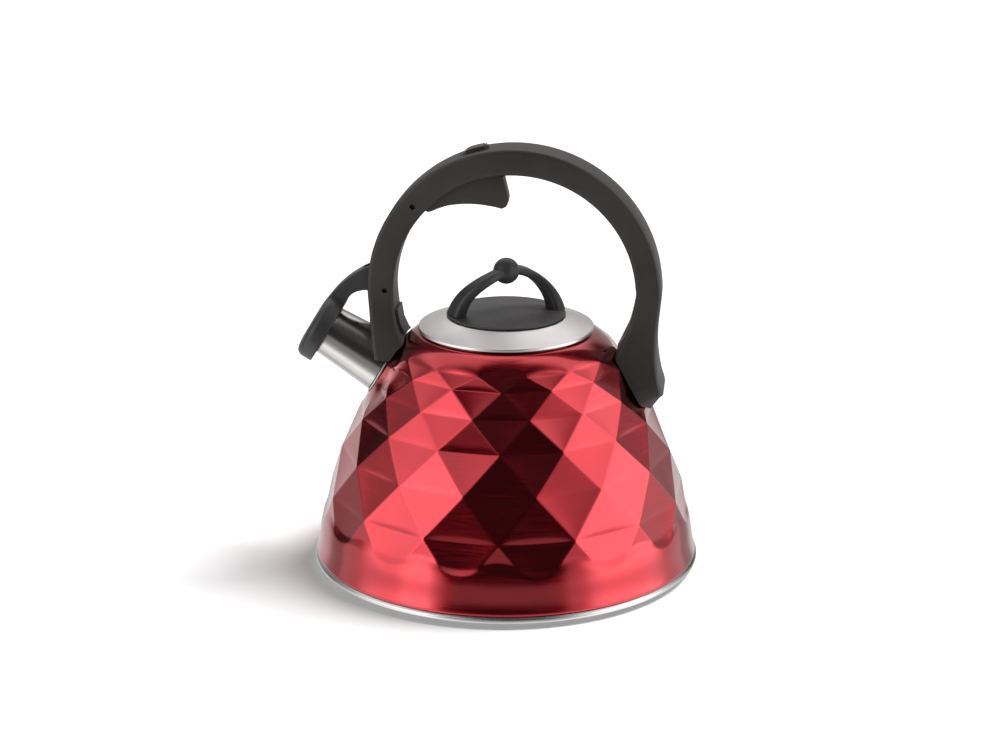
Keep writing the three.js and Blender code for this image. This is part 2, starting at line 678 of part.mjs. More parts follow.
function trigger() {
  const { x, z } = TRIGGER_PIVOT;
  const belly = [
    [-44.6, 204.6], [-42.4, 204.2], [-36.2, 206.7], [-30.6, 208.3], [-22, 209.2], [-13.9, 209.0],
    [-5.6, 207.8], [-2.2, 206.9], [0.3, 208.2], [1.4, 211.5], [0.2, 218.1], [-1.4, 225.2],
  ];
  const blade = sidePrism([
    ...smoothRows(belly, 3),
    ...arcPoints(ARCH.xIn, ARCH.zIn, TRIGGER_TOP.r, TRIGGER_TOP.from, TRIGGER_TOP.to),
  ], TRIGGER_HALF);
  const neck = sidePrism([
    [-43.0, 205.0], [-40.0, 211.5], [x, z + HUB_R - 0.6], [x, z - HUB_R + 0.6],
  ], LIMB_HALF);
  const limb = sidePrism([
    [x + 3.0, z - 2.6], [x - 1, z + 4.0], [-60.0, 199.6], [-66.6, 189.5], [-71.0, 180.0],
    [-74.1, 171.0], [-74.3, 165.3], [-69.1, 165.3], [-69.0, 171.5], [-66.0, 180.5],
    [-61.5, 188.5], [-55.0, 197.5],
  ], LIMB_HALF);
  const hub = crossBar(x, z, HUB_R, LIMB_HALF, 28);
  const hole = toSolid(crossBar(x, z, PIN.r + GAP, THROUGH));
  const [slotLow, slotHigh] = [LINK.x - LINK_SLOT.half, LINK.x + LINK_SLOT.half];
  const slot = toSolid(sidePrism([
    [slotLow, LINK_SLOT.low], [slotHigh, LINK_SLOT.low], [slotHigh, LINK_SLOT.high],
    [slotLow, LINK_SLOT.high],
  ], THROUGH));
  const whole = [neck, limb, hub].reduce((sum, piece) => sum.add(toSolid(piece)), toSolid(blade));
  return toGeometry(whole.subtract(hole).subtract(slot));
}

function whistleLever() {
  const { r, low, high, edge, cavityR, cavity, outlet } = HOOD;
  const { x, z } = LEVER_PIVOT;
  const inner = [
    spoutPoint(low + 0.4, r + 0.6), [-87.8, 154.4], [-84.9, 156.6], [-78.4, 158.0], [x - 1, z - LEVER_HUB],
  ];
  const outer = [
    [-71.0, 172.2], [-77.6, 171.6], [-84.0, 168.2], [-89.5, 164.4], [-93.8, 160.6], [-97.6, 156.6],
    spoutPoint(high - 0.9, r - 1.8),
  ];
  const arm = sidePrism([
    spoutPoint(low + 0.4, r - 3), ...smoothRows(inner, 3), [x, z + LEVER_HUB], [-69.4, 166.0],
    [-69.4, 170.2], ...smoothRows(outer, 3), spoutPoint(high - 0.4, 12),
  ], LEVER_HALF);
  const hood = onSpout(turned([
    [0, low], [r - 0.6, low], [r, low + 0.6], [r, high - edge], [r - 0.5, high - 2.9],
    [r - 1.4, high - 1.6], [r - 2.9, high - 0.7], [r - edge - 3, high], [0, high],
  ], HOOD_ROUND));
  const hub = crossBar(x, z, LEVER_HUB, LEVER_HALF, 24);
  const room = onSpout(turned([
    [0, low - THROUGH], [cavityR, low - THROUGH], [cavityR, cavity], [outlet, cavity],
    [outlet, high + THROUGH], [0, high + THROUGH],
  ], HOOD_ROUND));
  const limbRoom = sidePrism([
    [-60, 161.2], [-73, 161.2], [-81, 170.5], [-81, 182], [-60, 182],
  ], LIMB_HALF + 0.5);
  const solid = [hood, hub].reduce((sum, piece) => sum.add(toSolid(piece)), toSolid(arm));
  const pinBore = crossBar(x, z, PIN.r + GAP, THROUGH);
  const linkBore = crossBar(LINK.x, LINK.z, LINK.r + GAP, THROUGH);
  const cuts = [room, limbRoom, pinBore, linkBore];
  return toGeometry(largest(cuts.reduce((sum, cut) => sum.subtract(toSolid(cut)), solid)));
}

function whistlePlate({ hole, r, low, high }) {
  return onSpout(turned(ringProfile({ rIn: hole, rOut: r, low, high }), 24, true));
}

function thumbButton() {
  const side = sidePrism([
    [-30, 225], [-30, 236.0], [-24.6, 236.6], [-21.6, 239.4], [-17.5, 240.9], [-13.4, 242.0],
    [-10.6, 241.4], [-5, 240.6], [-5, 225],
  ], 12);
  const springRoom = turned(discProfile(3.0, 220, BUTTON_SPRING.high + 0.6), 20).translate(BUTTON.x, 0, 0);
  const block = toSolid(pill(0)).intersect(toSolid(side)).subtract(archDisc(BUTTON.underR));
  return toGeometry(block.subtract(toSolid(springRoom)));
}

function triggerSpring() {
  return coil(TRIGGER_SPRING).rotateX(-Math.PI / 2).translate(TRIGGER_PIVOT.x, 0, TRIGGER_PIVOT.z);
}

// ---------------------------------------------------------------- assembly

const kettle = new THREE.Group();

function add(name, geometry, look) {
  const mesh = new THREE.Mesh(geometry, new THREE.MeshStandardMaterial(look));
  mesh.name = name;
  kettle.add(mesh);
}

add('body_shell', bodyShell(), RED);
add('base_pan', basePan(), STEEL);
add('base_capsule', baseCapsule(), ALUMINIUM);
add('spout_tube', spoutTube(), STEEL);
add('spout_flange', spoutFlange(), STEEL);
add('spout_strainer', spoutStrainer(), STEEL);

add('handle', handle(), BLACK);
add('front_leg_cover', legCover(), BLACK);
add('front_bracket', tongue(FRONT_TONGUE, FRONT_SCREW.z), STEEL);
add('rear_bracket', tongue(REAR_TONGUE, REAR_SCREW.z), STEEL);
add('front_handle_screw', handleScrew(FRONT_SCREW), STEEL);
add('rear_handle_screw', handleScrew(REAR_SCREW), STEEL);
add('trigger_pin', crossBar(TRIGGER_PIVOT.x, TRIGGER_PIVOT.z, PIN.r, PIN.half), STEEL);
add('lever_pin', crossBar(LEVER_PIVOT.x, LEVER_PIVOT.z, PIN.r, PIN.half), STEEL);

add('trigger', trigger(), BLACK);
add('trigger_spring', triggerSpring(), STEEL);
add('whistle_lever', whistleLever(), BLACK);
add('link_pin', crossBar(LINK.x, LINK.z, LINK.r, LINK.half), STEEL);
add('whistle_seal', onSpout(turned(ringProfile(WHISTLE.seal), 24, true)), SILICONE);
add('whistle_inner_plate', whistlePlate(WHISTLE.inner), STEEL);
add('whistle_spacer', onSpout(turned(ringProfile(WHISTLE.spacer), 24, true)), STEEL);
add('whistle_outer_plate', whistlePlate(WHISTLE.outer), STEEL);
add('thumb_button', thumbButton(), BLACK);
add('button_spring', coil(BUTTON_SPRING).translate(BUTTON.x, 0, 0), STEEL);

add('lid_plate', lidPlate(), STEEL);
add('lid_skirt', turned(ringProfile(SKIRT), ROUND, true), STEEL);
add('lid_seal', turned(ringProfile(SEAL), ROUND, true), SILICONE);
add('knob_base', knobBase(), BLACK);
add('knob_bow', knobBow(), BLACK);
for (const [name, side] of [['front', -1], ['rear', 1]]) {
  add(`knob_screw_${name}`, knobScrew(side), STEEL);
  add(`knob_washer_${name}`, knobWasher(side), STEEL);
}

export default kettle;
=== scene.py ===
import json
import math

import bmesh
import bpy
import numpy as np
from mathutils import Matrix, Vector
from mathutils.bvhtree import BVHTree

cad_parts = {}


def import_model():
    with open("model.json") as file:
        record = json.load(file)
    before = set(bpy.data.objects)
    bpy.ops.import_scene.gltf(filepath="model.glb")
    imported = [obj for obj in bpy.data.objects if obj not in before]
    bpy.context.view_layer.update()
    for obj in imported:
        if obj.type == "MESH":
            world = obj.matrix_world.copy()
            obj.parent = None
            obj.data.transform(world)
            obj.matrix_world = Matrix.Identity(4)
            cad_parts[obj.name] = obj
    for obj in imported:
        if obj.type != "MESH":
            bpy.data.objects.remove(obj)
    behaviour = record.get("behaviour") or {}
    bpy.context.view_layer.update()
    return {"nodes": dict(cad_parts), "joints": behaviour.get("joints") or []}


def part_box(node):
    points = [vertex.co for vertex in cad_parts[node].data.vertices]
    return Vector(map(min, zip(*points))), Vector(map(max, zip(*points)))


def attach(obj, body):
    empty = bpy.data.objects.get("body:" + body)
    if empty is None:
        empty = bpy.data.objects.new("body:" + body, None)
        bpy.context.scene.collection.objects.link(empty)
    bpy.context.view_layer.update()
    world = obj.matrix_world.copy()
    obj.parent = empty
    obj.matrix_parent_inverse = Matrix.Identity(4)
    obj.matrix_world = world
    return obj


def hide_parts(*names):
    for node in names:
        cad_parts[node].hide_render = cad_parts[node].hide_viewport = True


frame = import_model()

MM = 0.001
KETTLE, LID, WHISTLE, TRIGGER, BUTTON = "kettle", "lid", "whistle", "trigger", "button"


# ---------------------------------------------------------------- reading the frame

def coords(node):
    """A CAD node's corners, in metres."""
    return np.array([v.co for v in frame["nodes"][node].data.vertices], float)


def extent(node, origin, axis):
    """How far a node reaches along an axis, and its largest and smallest distance from it."""
    from_origin = coords(node) - origin
    along = from_origin @ axis
    out = np.linalg.norm(from_origin - np.outer(along, axis), axis=1)
    return along.min(), along.max(), out.max(), out.min()


def centre(node):
    """Middle of a CAD node's box, in metres."""
    low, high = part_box(node)
    return (low + high) / 2


def spout_axis():
    """Centre of the spout's flange, and the direction in which the spout pours."""
    ring = coords("spout_flange")
    at = ring.mean(0)
    flat = np.linalg.svd(ring - at)[2][2]
    return at, flat * np.sign(-flat[0])


UP = np.array([0.0, 0.0, 1.0])
ORIGIN = np.zeros(3)
SPOUT_AT, SPOUT_DIR = spout_axis()
SPOUT_UP = UP - (UP @ SPOUT_DIR) * SPOUT_DIR
SPOUT_UP /= np.linalg.norm(SPOUT_UP)
SPOUT_SIDE = np.cross(SPOUT_DIR, SPOUT_UP)
TUBE_LOW, TUBE_TIP = extent("spout_tube", SPOUT_AT, SPOUT_DIR)[:2]
FLANGE_LOW, FLANGE_HIGH, FLANGE_R, FLANGE_BORE = extent("spout_flange", SPOUT_AT, SPOUT_DIR)


# ---------------------------------------------------------------- mesh helpers

def new_object(name, corners, faces):
    mesh = bpy.data.meshes.new(name)
    mesh.from_pydata([tuple(c) for c in corners], [], [tuple(int(i) for i in f) for f in faces])
    mesh.validate()
    obj = bpy.data.objects.new(name, mesh)
    bpy.context.scene.collection.objects.link(obj)
    return obj


def smooth(obj, angle=35.0):
    """Smooth shading, with sharp edges where faces meet at more than the angle."""
    for polygon in obj.data.polygons:
        polygon.use_smooth = True
    obj.data.set_sharp_from_angle(angle=math.radians(angle))


def outward(obj):
    """Turns all faces of a closed mesh outward."""
    bm = bmesh.new()
    bm.from_mesh(obj.data)
    bmesh.ops.recalc_face_normals(bm, faces=bm.faces)
    bm.to_mesh(obj.data)
    bm.free()


def grid_faces(rows, columns):
    """Quads between rows of corners, each row closed on itself."""
    faces = []
    for i in range(rows - 1):
        for j in range(columns):
            a, b = i * columns + j, i * columns + (j + 1) % columns
            faces.append((a, b, b + columns, a + columns))
    return faces


def rounded(points, radius, closed=True, steps=4):
    """The outline with each corner turned into an arc; a point's third value is its own radius."""
    out = []
    count = len(points)
    for i, point in enumerate(points):
        here = np.array(point[:2], float)
        r = point[2] if len(point) > 2 else radius
        if r <= 0 or (not closed and i in (0, count - 1)):
            out.append(here)
            continue
        before = np.array(points[i - 1][:2], float)
        after = np.array(points[(i + 1) % count][:2], float)
        a, b = before - here, after - here
        la, lb = np.linalg.norm(a), np.linalg.norm(b)
        if la < 1e-9 or lb < 1e-9:
            out.append(here)
            continue
        half = math.acos(max(-1, min(1, a @ b / la / lb))) / 2
        cut = min(r / math.tan(max(half, 0.05)), 0.49 * la, 0.49 * lb)
        start, end = here + a / la * cut, here + b / lb * cut
        for k in range(steps + 1):
            t = k / steps
            out.append((1 - t) ** 2 * start + 2 * t * (1 - t) * here + t * t * end)
    return out


def turned(name, profile, sides=160, origin=ORIGIN, axis=UP, closed=True):
    """Turned piece from [radius, height] in millimetres; a closed profile makes a ring."""
    side = np.array([axis[2], 0.0, -axis[0]])
    other = np.cross(axis, side)
    angles = np.arange(sides) * 2 * math.pi / sides
    corners, rows = [], []
    for r, h in profile:
        if r < 1e-6:
            rows.append([len(corners)] * sides)
            corners.append(origin + axis * h * MM)
            continue
        rows.append(list(range(len(corners), len(corners) + sides)))
        ring = np.outer(np.cos(angles), side) + np.outer(np.sin(angles), other)
        corners.extend(origin + ring * r * MM + axis * h * MM)
    faces = []
    for k in range(len(rows) if closed else len(rows) - 1):
        low, high = rows[k], rows[(k + 1) % len(rows)]
        for j in range(sides):
            face = [low[j], low[(j + 1) % sides], high[(j + 1) % sides], high[j]]
            face = list(dict.fromkeys(face))
            if len(face) > 2:
                faces.append(face)
    obj = new_object(name, corners, faces)
    outward(obj)
    smooth(obj)
    return obj


def plug(name, r, low, high, sides, at=ORIGIN):
    """Upright round bar, in millimetres above a place in metres."""
    return turned(name, [(0, low), (r, low), (r, high), (0, high)], sides, at, closed=False)


def prism(name, outline, half):
    """Plate with an outline in XZ, in millimetres, between y = -half and y = half."""
    n = len(outline)
    corners = [(x * MM, y * half * MM, z * MM) for y in (-1, 1) for x, z in outline]
    faces = [list(range(n)), list(range(2 * n - 1, n - 1, -1))]
    faces += [(i, (i + 1) % n, n + (i + 1) % n, n + i) for i in range(n)]
    obj = new_object(name, corners, faces)
    outward(obj)
    return obj


def loft(name, loops):
    """Closed skin through loops of equal length, in metres."""
    n = len(loops[0])
    faces = grid_faces(len(loops), n)
    last = (len(loops) - 1) * n
    faces += [list(range(n)), list(range(last + n - 1, last - 1, -1))]
    obj = new_object(name, np.concatenate(loops), faces)
    outward(obj)
    return obj


def combine(obj, other, operation):
    """Joins or cuts obj with another closed piece, which is used up."""
    modifier = obj.modifiers.new("cut", "BOOLEAN")
    modifier.operation = operation
    modifier.object = other
    modifier.solver = "EXACT"
    apply_modifiers(obj)
    bpy.data.objects.remove(other)


def apply_modifiers(obj):
    bpy.context.view_layer.update()
    ready = obj.evaluated_get(bpy.context.evaluated_depsgraph_get())
    mesh = bpy.data.meshes.new_from_object(ready)
    old = obj.data
    obj.modifiers.clear()
    obj.data = mesh
    bpy.data.meshes.remove(old)
    mesh.name = obj.name


def moulded(obj, voxel, passes):
    """Remeshes a piece evenly and softens its edges, as a moulding's are."""
    remesh = obj.modifiers.new("remesh", "REMESH")
    remesh.mode = "VOXEL"
    remesh.voxel_size = voxel * MM
    soften = obj.modifiers.new("soften", "SMOOTH")
    soften.factor = 0.5
    soften.iterations = passes
    apply_modifiers(obj)
    smooth(obj, 180)


def bevelled(obj, width, segments, angle):
    """Rounds edges sharper than the angle, over a width in millimetres."""
    bevel = obj.modifiers.new("bevel", "BEVEL")
    bevel.width = width * MM
    bevel.segments = segments
    bevel.limit_method = "ANGLE"
    bevel.angle_limit = math.radians(angle)


def declare(obj, material, slot, body, *replaced):
    """Gives a piece its material, hangs it on the empty of the body it rides on and hides the CAD nodes it
    stands for.
    """
    obj.data.materials.clear()
    obj.data.materials.append(material)
    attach(obj, body)
    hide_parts(*replaced)


# ---------------------------------------------------------------- materials

def node(tree, kind, **values):
    made = tree.nodes.new(kind)
    for key, value in values.items():
        setattr(made, key, value)
    return made


def link(tree, out, into):
    tree.links.new(out, into)


def base_material(name, colour, roughness, metallic=0.0, **shader_values):
    material = bpy.data.materials.new(name)
    material.use_nodes = True
    shader = material.node_tree.nodes["Principled BSDF"]
    shader.inputs["Base Color"].default_value = (*colour, 1.0)
    shader.inputs["Roughness"].default_value = roughness
    shader.inputs["Metallic"].default_value = metallic
    for key, value in shader_values.items():
        shader.inputs[key.replace("_", " ")].default_value = value
    return material, material.node_tree, shader


def object_place(tree, scale=(1.0, 1.0, 1.0)):
    """Object coordinates, stretched."""
    place = node(tree, "ShaderNodeTexCoord")
    mapping = node(tree, "ShaderNodeMapping")
    mapping.inputs["Scale"].default_value = scale
    link(tree, place.outputs["Object"], mapping.inputs["Vector"])
    return mapping.outputs["Vector"]


def turned_place(tree, around=1.0, out=1.0, up=1.0):
    """Coordinates that follow a turned piece: angle, radius and height, each stretched."""
    place = node(tree, "ShaderNodeTexCoord")
    parts = node(tree, "ShaderNodeSeparateXYZ")
    link(tree, place.outputs["Object"], parts.inputs[0])
    angle = node(tree, "ShaderNodeMath", operation="ARCTAN2")
    link(tree, parts.outputs["X"], angle.inputs[0])
    link(tree, parts.outputs["Y"], angle.inputs[1])
    flat = node(tree, "ShaderNodeCombineXYZ")
    link(tree, parts.outputs["X"], flat.inputs["X"])
    link(tree, parts.outputs["Y"], flat.inputs["Y"])
    length = node(tree, "ShaderNodeVectorMath", operation="LENGTH")
    link(tree, flat.outputs[0], length.inputs[0])
    joined = node(tree, "ShaderNodeCombineXYZ")
    for source, stretch, target in (
        (angle.outputs[0], around, "X"),
        (length.outputs["Value"], out, "Y"),
        (parts.outputs["Z"], up, "Z"),
    ):
        times = node(tree, "ShaderNodeMath", operation="MULTIPLY")
        times.inputs[1].default_value = stretch
        link(tree, source, times.inputs[0])
        link(tree, times.outputs[0], joined.inputs[target])
    return joined.outputs[0]


def noise(tree, place, scale, detail=3.0, roughness=0.5):
    made = node(tree, "ShaderNodeTexNoise")
    made.inputs["Scale"].default_value = scale
    made.inputs["Detail"].default_value = detail
    made.inputs["Roughness"].default_value = roughness
    link(tree, place, made.inputs["Vector"])
    return made.outputs["Fac"]


def spread(tree, value, low, high):
    """Maps a noise, which is mostly between 0.3 and 0.7, to a range."""
    made = node(tree, "ShaderNodeMapRange")
    made.inputs["From Min"].default_value = 0.3
    made.inputs["From Max"].default_value = 0.7
    made.inputs["To Min"].default_value = low
    made.inputs["To Max"].default_value = high
    link(tree, value, made.inputs["Value"])
    return made.outputs["Result"]


def tint(tree, value, dark, light):
    ramp = node(tree, "ShaderNodeValToRGB")
    ramp.color_ramp.elements[0].position = 0.3
    ramp.color_ramp.elements[1].position = 0.7
    ramp.color_ramp.elements[0].color = (*dark, 1)
    ramp.color_ramp.elements[1].color = (*light, 1)
    link(tree, value, ramp.inputs["Fac"])
    return ramp.outputs["Color"]


def bump(tree, shader, height, depth, strength=1.0, under=None):
    made = node(tree, "ShaderNodeBump")
    made.inputs["Distance"].default_value = depth * MM
    made.inputs["Strength"].default_value = strength
    link(tree, height, made.inputs["Height"])
    if under is not None:
        link(tree, under, made.inputs["Normal"])
    link(tree, made.outputs["Normal"], shader.inputs["Normal"])
    return made.outputs["Normal"]


def red_metal():
    """Clear-coated red metal, brushed level before it was coloured."""
    material, tree, shader = base_material(
        "red_metal", (0.55, 0.017, 0.03), 0.2, 1.0,
        Coat_Weight=1.0, Coat_Roughness=0.06, Coat_IOR=1.5,
    )
    brushed = noise(tree, turned_place(tree, 3.0, 1.0, 900.0), 1.6, 4.0)
    cloud = noise(tree, object_place(tree), 22.0, 2.0)
    link(tree, tint(tree, cloud, (0.5, 0.013, 0.025), (0.6, 0.022, 0.036)), shader.inputs["Base Color"])
    link(tree, spread(tree, brushed, 0.15, 0.27), shader.inputs["Roughness"])
    wave = bump(tree, shader, cloud, 0.25, 0.5)
    bump(tree, shader, brushed, 0.006, 0.7, wave)
    return material


def brushed_steel(name, colour, low, high, depth, place):
    """Steel brushed along the way in which its place changes slowly."""
    material, tree, shader = base_material(name, colour, (low + high) / 2, 1.0)
    lines = noise(tree, place(tree), 1.0, 5.0, 0.6)
    cloud = noise(tree, object_place(tree), 45.0, 2.0)
    light = tuple(min(1.0, c * 1.06) for c in colour)
    dark = tuple(c * 0.93 for c in colour)
    link(tree, tint(tree, cloud, dark, light), shader.inputs["Base Color"])
    link(tree, spread(tree, lines, low, high), shader.inputs["Roughness"])
    bump(tree, shader, lines, depth, 0.6)
    return material


def black_plastic(name, colour, roughness, depth=0.02):
    """Satin moulded plastic with a fine grain and faint flow marks."""
    material, tree, shader = base_material(name, colour, roughness)
    shader.inputs["Specular IOR Level"].default_value = 0.42
    grain = noise(tree, object_place(tree), 1500.0, 2.0)
    flow = noise(tree, object_place(tree), 28.0, 3.0)
    dark = tuple(c * 0.8 for c in colour)
    light = (colour[0] * 1.25, colour[1] * 1.18, colour[2] * 1.15)
    link(tree, tint(tree, flow, dark, light), shader.inputs["Base Color"])
    link(tree, spread(tree, flow, roughness - 0.06, roughness + 0.08), shader.inputs["Roughness"])
    bump(tree, shader, grain, depth, 0.5)
    return material


def knob_plastic():
    """The disc under the knob, streaked from side to side."""
    material, tree, shader = base_material("knob_disc_plastic", (0.06, 0.055, 0.057), 0.45)
    streaks = noise(tree, object_place(tree, (12.0, 300.0, 300.0)), 1.4, 4.0, 0.6)
    link(tree, tint(tree, streaks, (0.026, 0.023, 0.024), (0.05, 0.045, 0.047)), shader.inputs["Base Color"])
    link(tree, spread(tree, streaks, 0.38, 0.55), shader.inputs["Roughness"])
    bump(tree, shader, streaks, 0.02, 0.5)
    return material


def silicone():
    material, tree, shader = base_material("silicone", (0.34, 0.335, 0.325), 0.6)
    cloud = noise(tree, object_place(tree), 160.0, 3.0)
    link(tree, tint(tree, cloud, (0.29, 0.285, 0.275), (0.38, 0.375, 0.365)), shader.inputs["Base Color"])
    link(tree, spread(tree, cloud, 0.5, 0.72), shader.inputs["Roughness"])
    bump(tree, shader, noise(tree, object_place(tree), 1200.0, 2.0), 0.02, 0.5)
    return material


RED = red_metal()
LID_STEEL = brushed_steel(
    "lid_steel", (0.88, 0.845, 0.835), 0.34, 0.46, 0.004,
    lambda tree: turned_place(tree, 5.0, 3000.0, 3000.0),
)
BRIGHT_STEEL = brushed_steel(
    "bright_steel", (0.56, 0.545, 0.53), 0.15, 0.26, 0.004,
    lambda tree: object_place(tree, (900.0, 900.0, 900.0)),
)
RIM_STEEL = brushed_steel(
    "rim_steel", (0.72, 0.71, 0.7), 0.2, 0.34, 0.008,
    lambda tree: turned_place(tree, 3.0, 2600.0, 2600.0),
)
SMALL_STEEL = brushed_steel(
    "small_steel", (0.62, 0.61, 0.6), 0.24, 0.4, 0.006,
    lambda tree: object_place(tree, (1400.0, 1400.0, 1400.0)),
)
ALUMINIUM = brushed_steel(
    "aluminium", (0.55, 0.56, 0.57), 0.35, 0.52, 0.02,
    lambda tree: turned_place(tree, 4.0, 1500.0, 1500.0),
)
BLACK = black_plastic("black_plastic", (0.031, 0.0295, 0.0285), 0.46)
BLACK_SOFT = black_plastic("black_plastic_fine", (0.038, 0.038, 0.038), 0.4, 0.012)
KNOB_BLACK = knob_plastic()
SILICONE = silicone()
# Painted shade: the trigger and lever pins are coloured near black so that their ends stand in for the shade
# in the deep holes of the handle where they sit.
PIN_STEEL_PAINTED_SHADE = brushed_steel(
    "pin_steel_painted_shade", (0.05, 0.05, 0.05), 0.4, 0.55, 0.006,
    lambda tree: object_place(tree, (1400.0, 1400.0, 1400.0)),
)


# ---------------------------------------------------------------- body shell

FACETS = 15
STEP = 2 * math.pi / FACETS
FIRST = math.radians(15.54)   # direction of the lowest ring's first corner, from -Y towards +X
RINGS = [
    (107.0, 18.0), (101.6, 44.9), (93.8, 68.8), (83.8, 89.8), (75.2, 106.4), (67.0, 119.6), (62.0, 127.3),
]
FINE = 20          # small triangles along a facet's edge
CREASE = 1.3       # above 1 gathers the small triangles along the creases
FOLD_DENT = 0.45   # how deep the level folds are pressed in
FOLD_HIGH = 3.2    # height of the roll above a level fold
BAND = [(7.0, 109.2), (13.0, 107.85), (15.0, 107.5), (24.0, 106.2), (30.0, 104.7), (60.0, 96.0)]
BAND_FADE = (29.5, 32.5)   # between these heights the facets run out into the band
BAND_WAVE = 2.2            # the facets that point down run out this much lower
RELAX_TURNS = 9            # the creases get one turn, the foot and the shoulder all
SHEET = 0.8                # thickness
NECK_REACH = 27.0     # above the spout
NECK_BESIDE = 9.0     # reaches this much further beside it
NECK_BELOW = 3.0      # and this much further below it
NECK_STEPS = 24       # rows of corners between the shell and the flange
NECK_HOLLOW = 0.9     # how far its sides are drawn in
NECK_DEEP = 8.5       # the shell's mouth lies further below the flange than this
NECK_DEEP_BESIDE = 5.0    # and further by this much beside the spout
NECK_R = 18.5         # where it meets the flange


def eased(t):
    """Goes from 0 to 1 with a level start and end."""
    return t * t * (3 - 2 * t)


def facet_rows():
    """Rows of corners over the facets, from the lowest ring to the highest."""
    def corner(k, facet):
        r, z = RINGS[k]
        a = FIRST + (facet + k / 2) * STEP
        return np.stack([r * np.sin(a), -r * np.cos(a), np.full_like(a, z)], -1)

    facet = np.arange(FACETS, dtype=float)
    rows = []
    for k in range(len(RINGS) - 1):
        low, low_next = corner(k, facet), corner(k, facet + 1)
        high, high_next = corner(k + 1, facet), corner(k + 1, facet + 1)
        deep = RINGS[k + 1][1] - RINGS[k][1]
        for i in range(FINE + (k == len(RINGS) - 2)):
            row = np.zeros((FACETS, FINE, 3))
            for u in range(FINE):
                upward = u < FINE - i
                if upward:
                    share = np.array([FINE - i - u, u, i], float)
                    corners = (low, low_next, high)
                else:
                    v = u - (FINE - i)
                    share = np.array([i - v, v, FINE - i], float)
                    corners = (high, high_next, low_next)
                share = share ** CREASE
                share /= share.sum()
                point = sum(s * c for s, c in zip(share, corners))
                across = 4 * share[0] * share[1] / max((share[0] + share[1]) ** 2, 1e-9)
                height = share[2] * deep
                if upward:
                    dent = max(0.0, 1 - height / FOLD_HIGH) ** 2
                else:
                    dent = 1 - share[2]
                if k == 0 and upward:
                    dent = 0.0
                flat = np.hypot(point[:, 0], point[:, 1])
                point[:, :2] *= (1 - FOLD_DENT * dent * across / flat)[:, None]
                row[:, u] = point
            rows.append(row.reshape(-1, 3))
    return rows


def profile_rows(row, profile):
    """Round rows that carry on from a row of corners, at [radius, height]."""
    angle = np.arctan2(row[:, 0], -row[:, 1])
    return [np.stack([r * np.sin(angle), -r * np.cos(angle), np.full_like(angle, z)], -1) for r, z in profile]


def shell_rows():
    """Rows of corners from the foot of the shell up over the facets and into the mouth."""
    rows = facet_rows()
    band_z, band_r = zip(*BAND)
    for row in rows:
        angle = np.arctan2(row[:, 0], -row[:, 1])
        flat = np.hypot(row[:, 0], row[:, 1])
        level = row[:, 2] + BAND_WAVE * np.cos(FACETS * (angle - FIRST))
        t = eased(np.clip((BAND_FADE[1] - level) / (BAND_FADE[1] - BAND_FADE[0]), 0, 1))
        goal = np.interp(row[:, 2], band_z, band_r)
        row[:, :2] *= ((flat + (goal - flat) * t) / flat)[:, None]
    low_z = RINGS[0][1]
    foot = [(np.interp(z, band_z, band_r), z) for z in np.linspace(BAND[0][0], low_z, 9)[:-1]]
    top_r, top_z = RINGS[-1]
    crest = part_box("body_shell")[1].z / MM
    mouth = extent("body_shell", ORIGIN, UP)[3] / MM
    shoulder = [
        (58.6, crest - 6.5), (54.9, crest - 3.5), (51.6, crest - 1.3), (49.4, crest - 0.3), (48.2, crest),
        (46.9, crest - 0.3), (mouth + 0.5, crest - 1.0), (mouth, crest - 2.2), (mouth, crest - 4.5),
        (mouth, crest - 7.0),
    ]
    path = [np.array((top_r - 0.6, top_z + 0.6))] + [np.array(p) for p in shoulder]
    fine = []
    for a, b in zip(path, path[1:]):
        fine += [tuple(a + (b - a) * s) for s in (0.0, 0.5)]
    fine.append(tuple(path[-1]))
    return profile_rows(rows[0], foot) + rows + profile_rows(rows[-1], fine), len(fine)


def relaxed(rows, top):
    """Rounds the creases slightly, and the foot and the shoulder more."""
    place = np.array(rows)
    z = place[:, :, 2].mean(1)
    soft = (z < BAND_FADE[0] - 2) | (np.arange(len(place)) > len(place) - top - FINE // 3)
    for turn in range(RELAX_TURNS):
        near = np.zeros_like(place)
        near[1:-1] = (
            np.roll(place[1:-1], 1, 1) + np.roll(place[1:-1], -1, 1)
            + place[2:] + np.roll(place[2:], 1, 1) + place[:-2] + np.roll(place[:-2], -1, 1)
        ) / 6
        gain = np.where(soft | (turn == 0), 0.5, 0.0)
        gain[:2] = 0
        gain[-6:] = 0
        place[1:-1] += (near[1:-1] - place[1:-1]) * gain[1:-1, None, None]
    return place


def shell():
    """Faceted sheet with its foot, its neck and its mouth."""
    place = relaxed(*shell_rows()) * MM
    faces = []
    for a, b, c, d in grid_faces(*place.shape[:2]):
        faces += [(a, b, d), (b, c, d)]
    corners, faces = with_neck(place.reshape(-1, 3), np.array(faces))
    obj = new_object("shell", corners, faces)
    smooth(obj, 60)
    thick = obj.modifiers.new("sheet", "SOLIDIFY")
    thick.thickness = SHEET * MM
    thick.offset = -1
    declare(obj, RED, "red_metal", KETTLE, "body_shell")


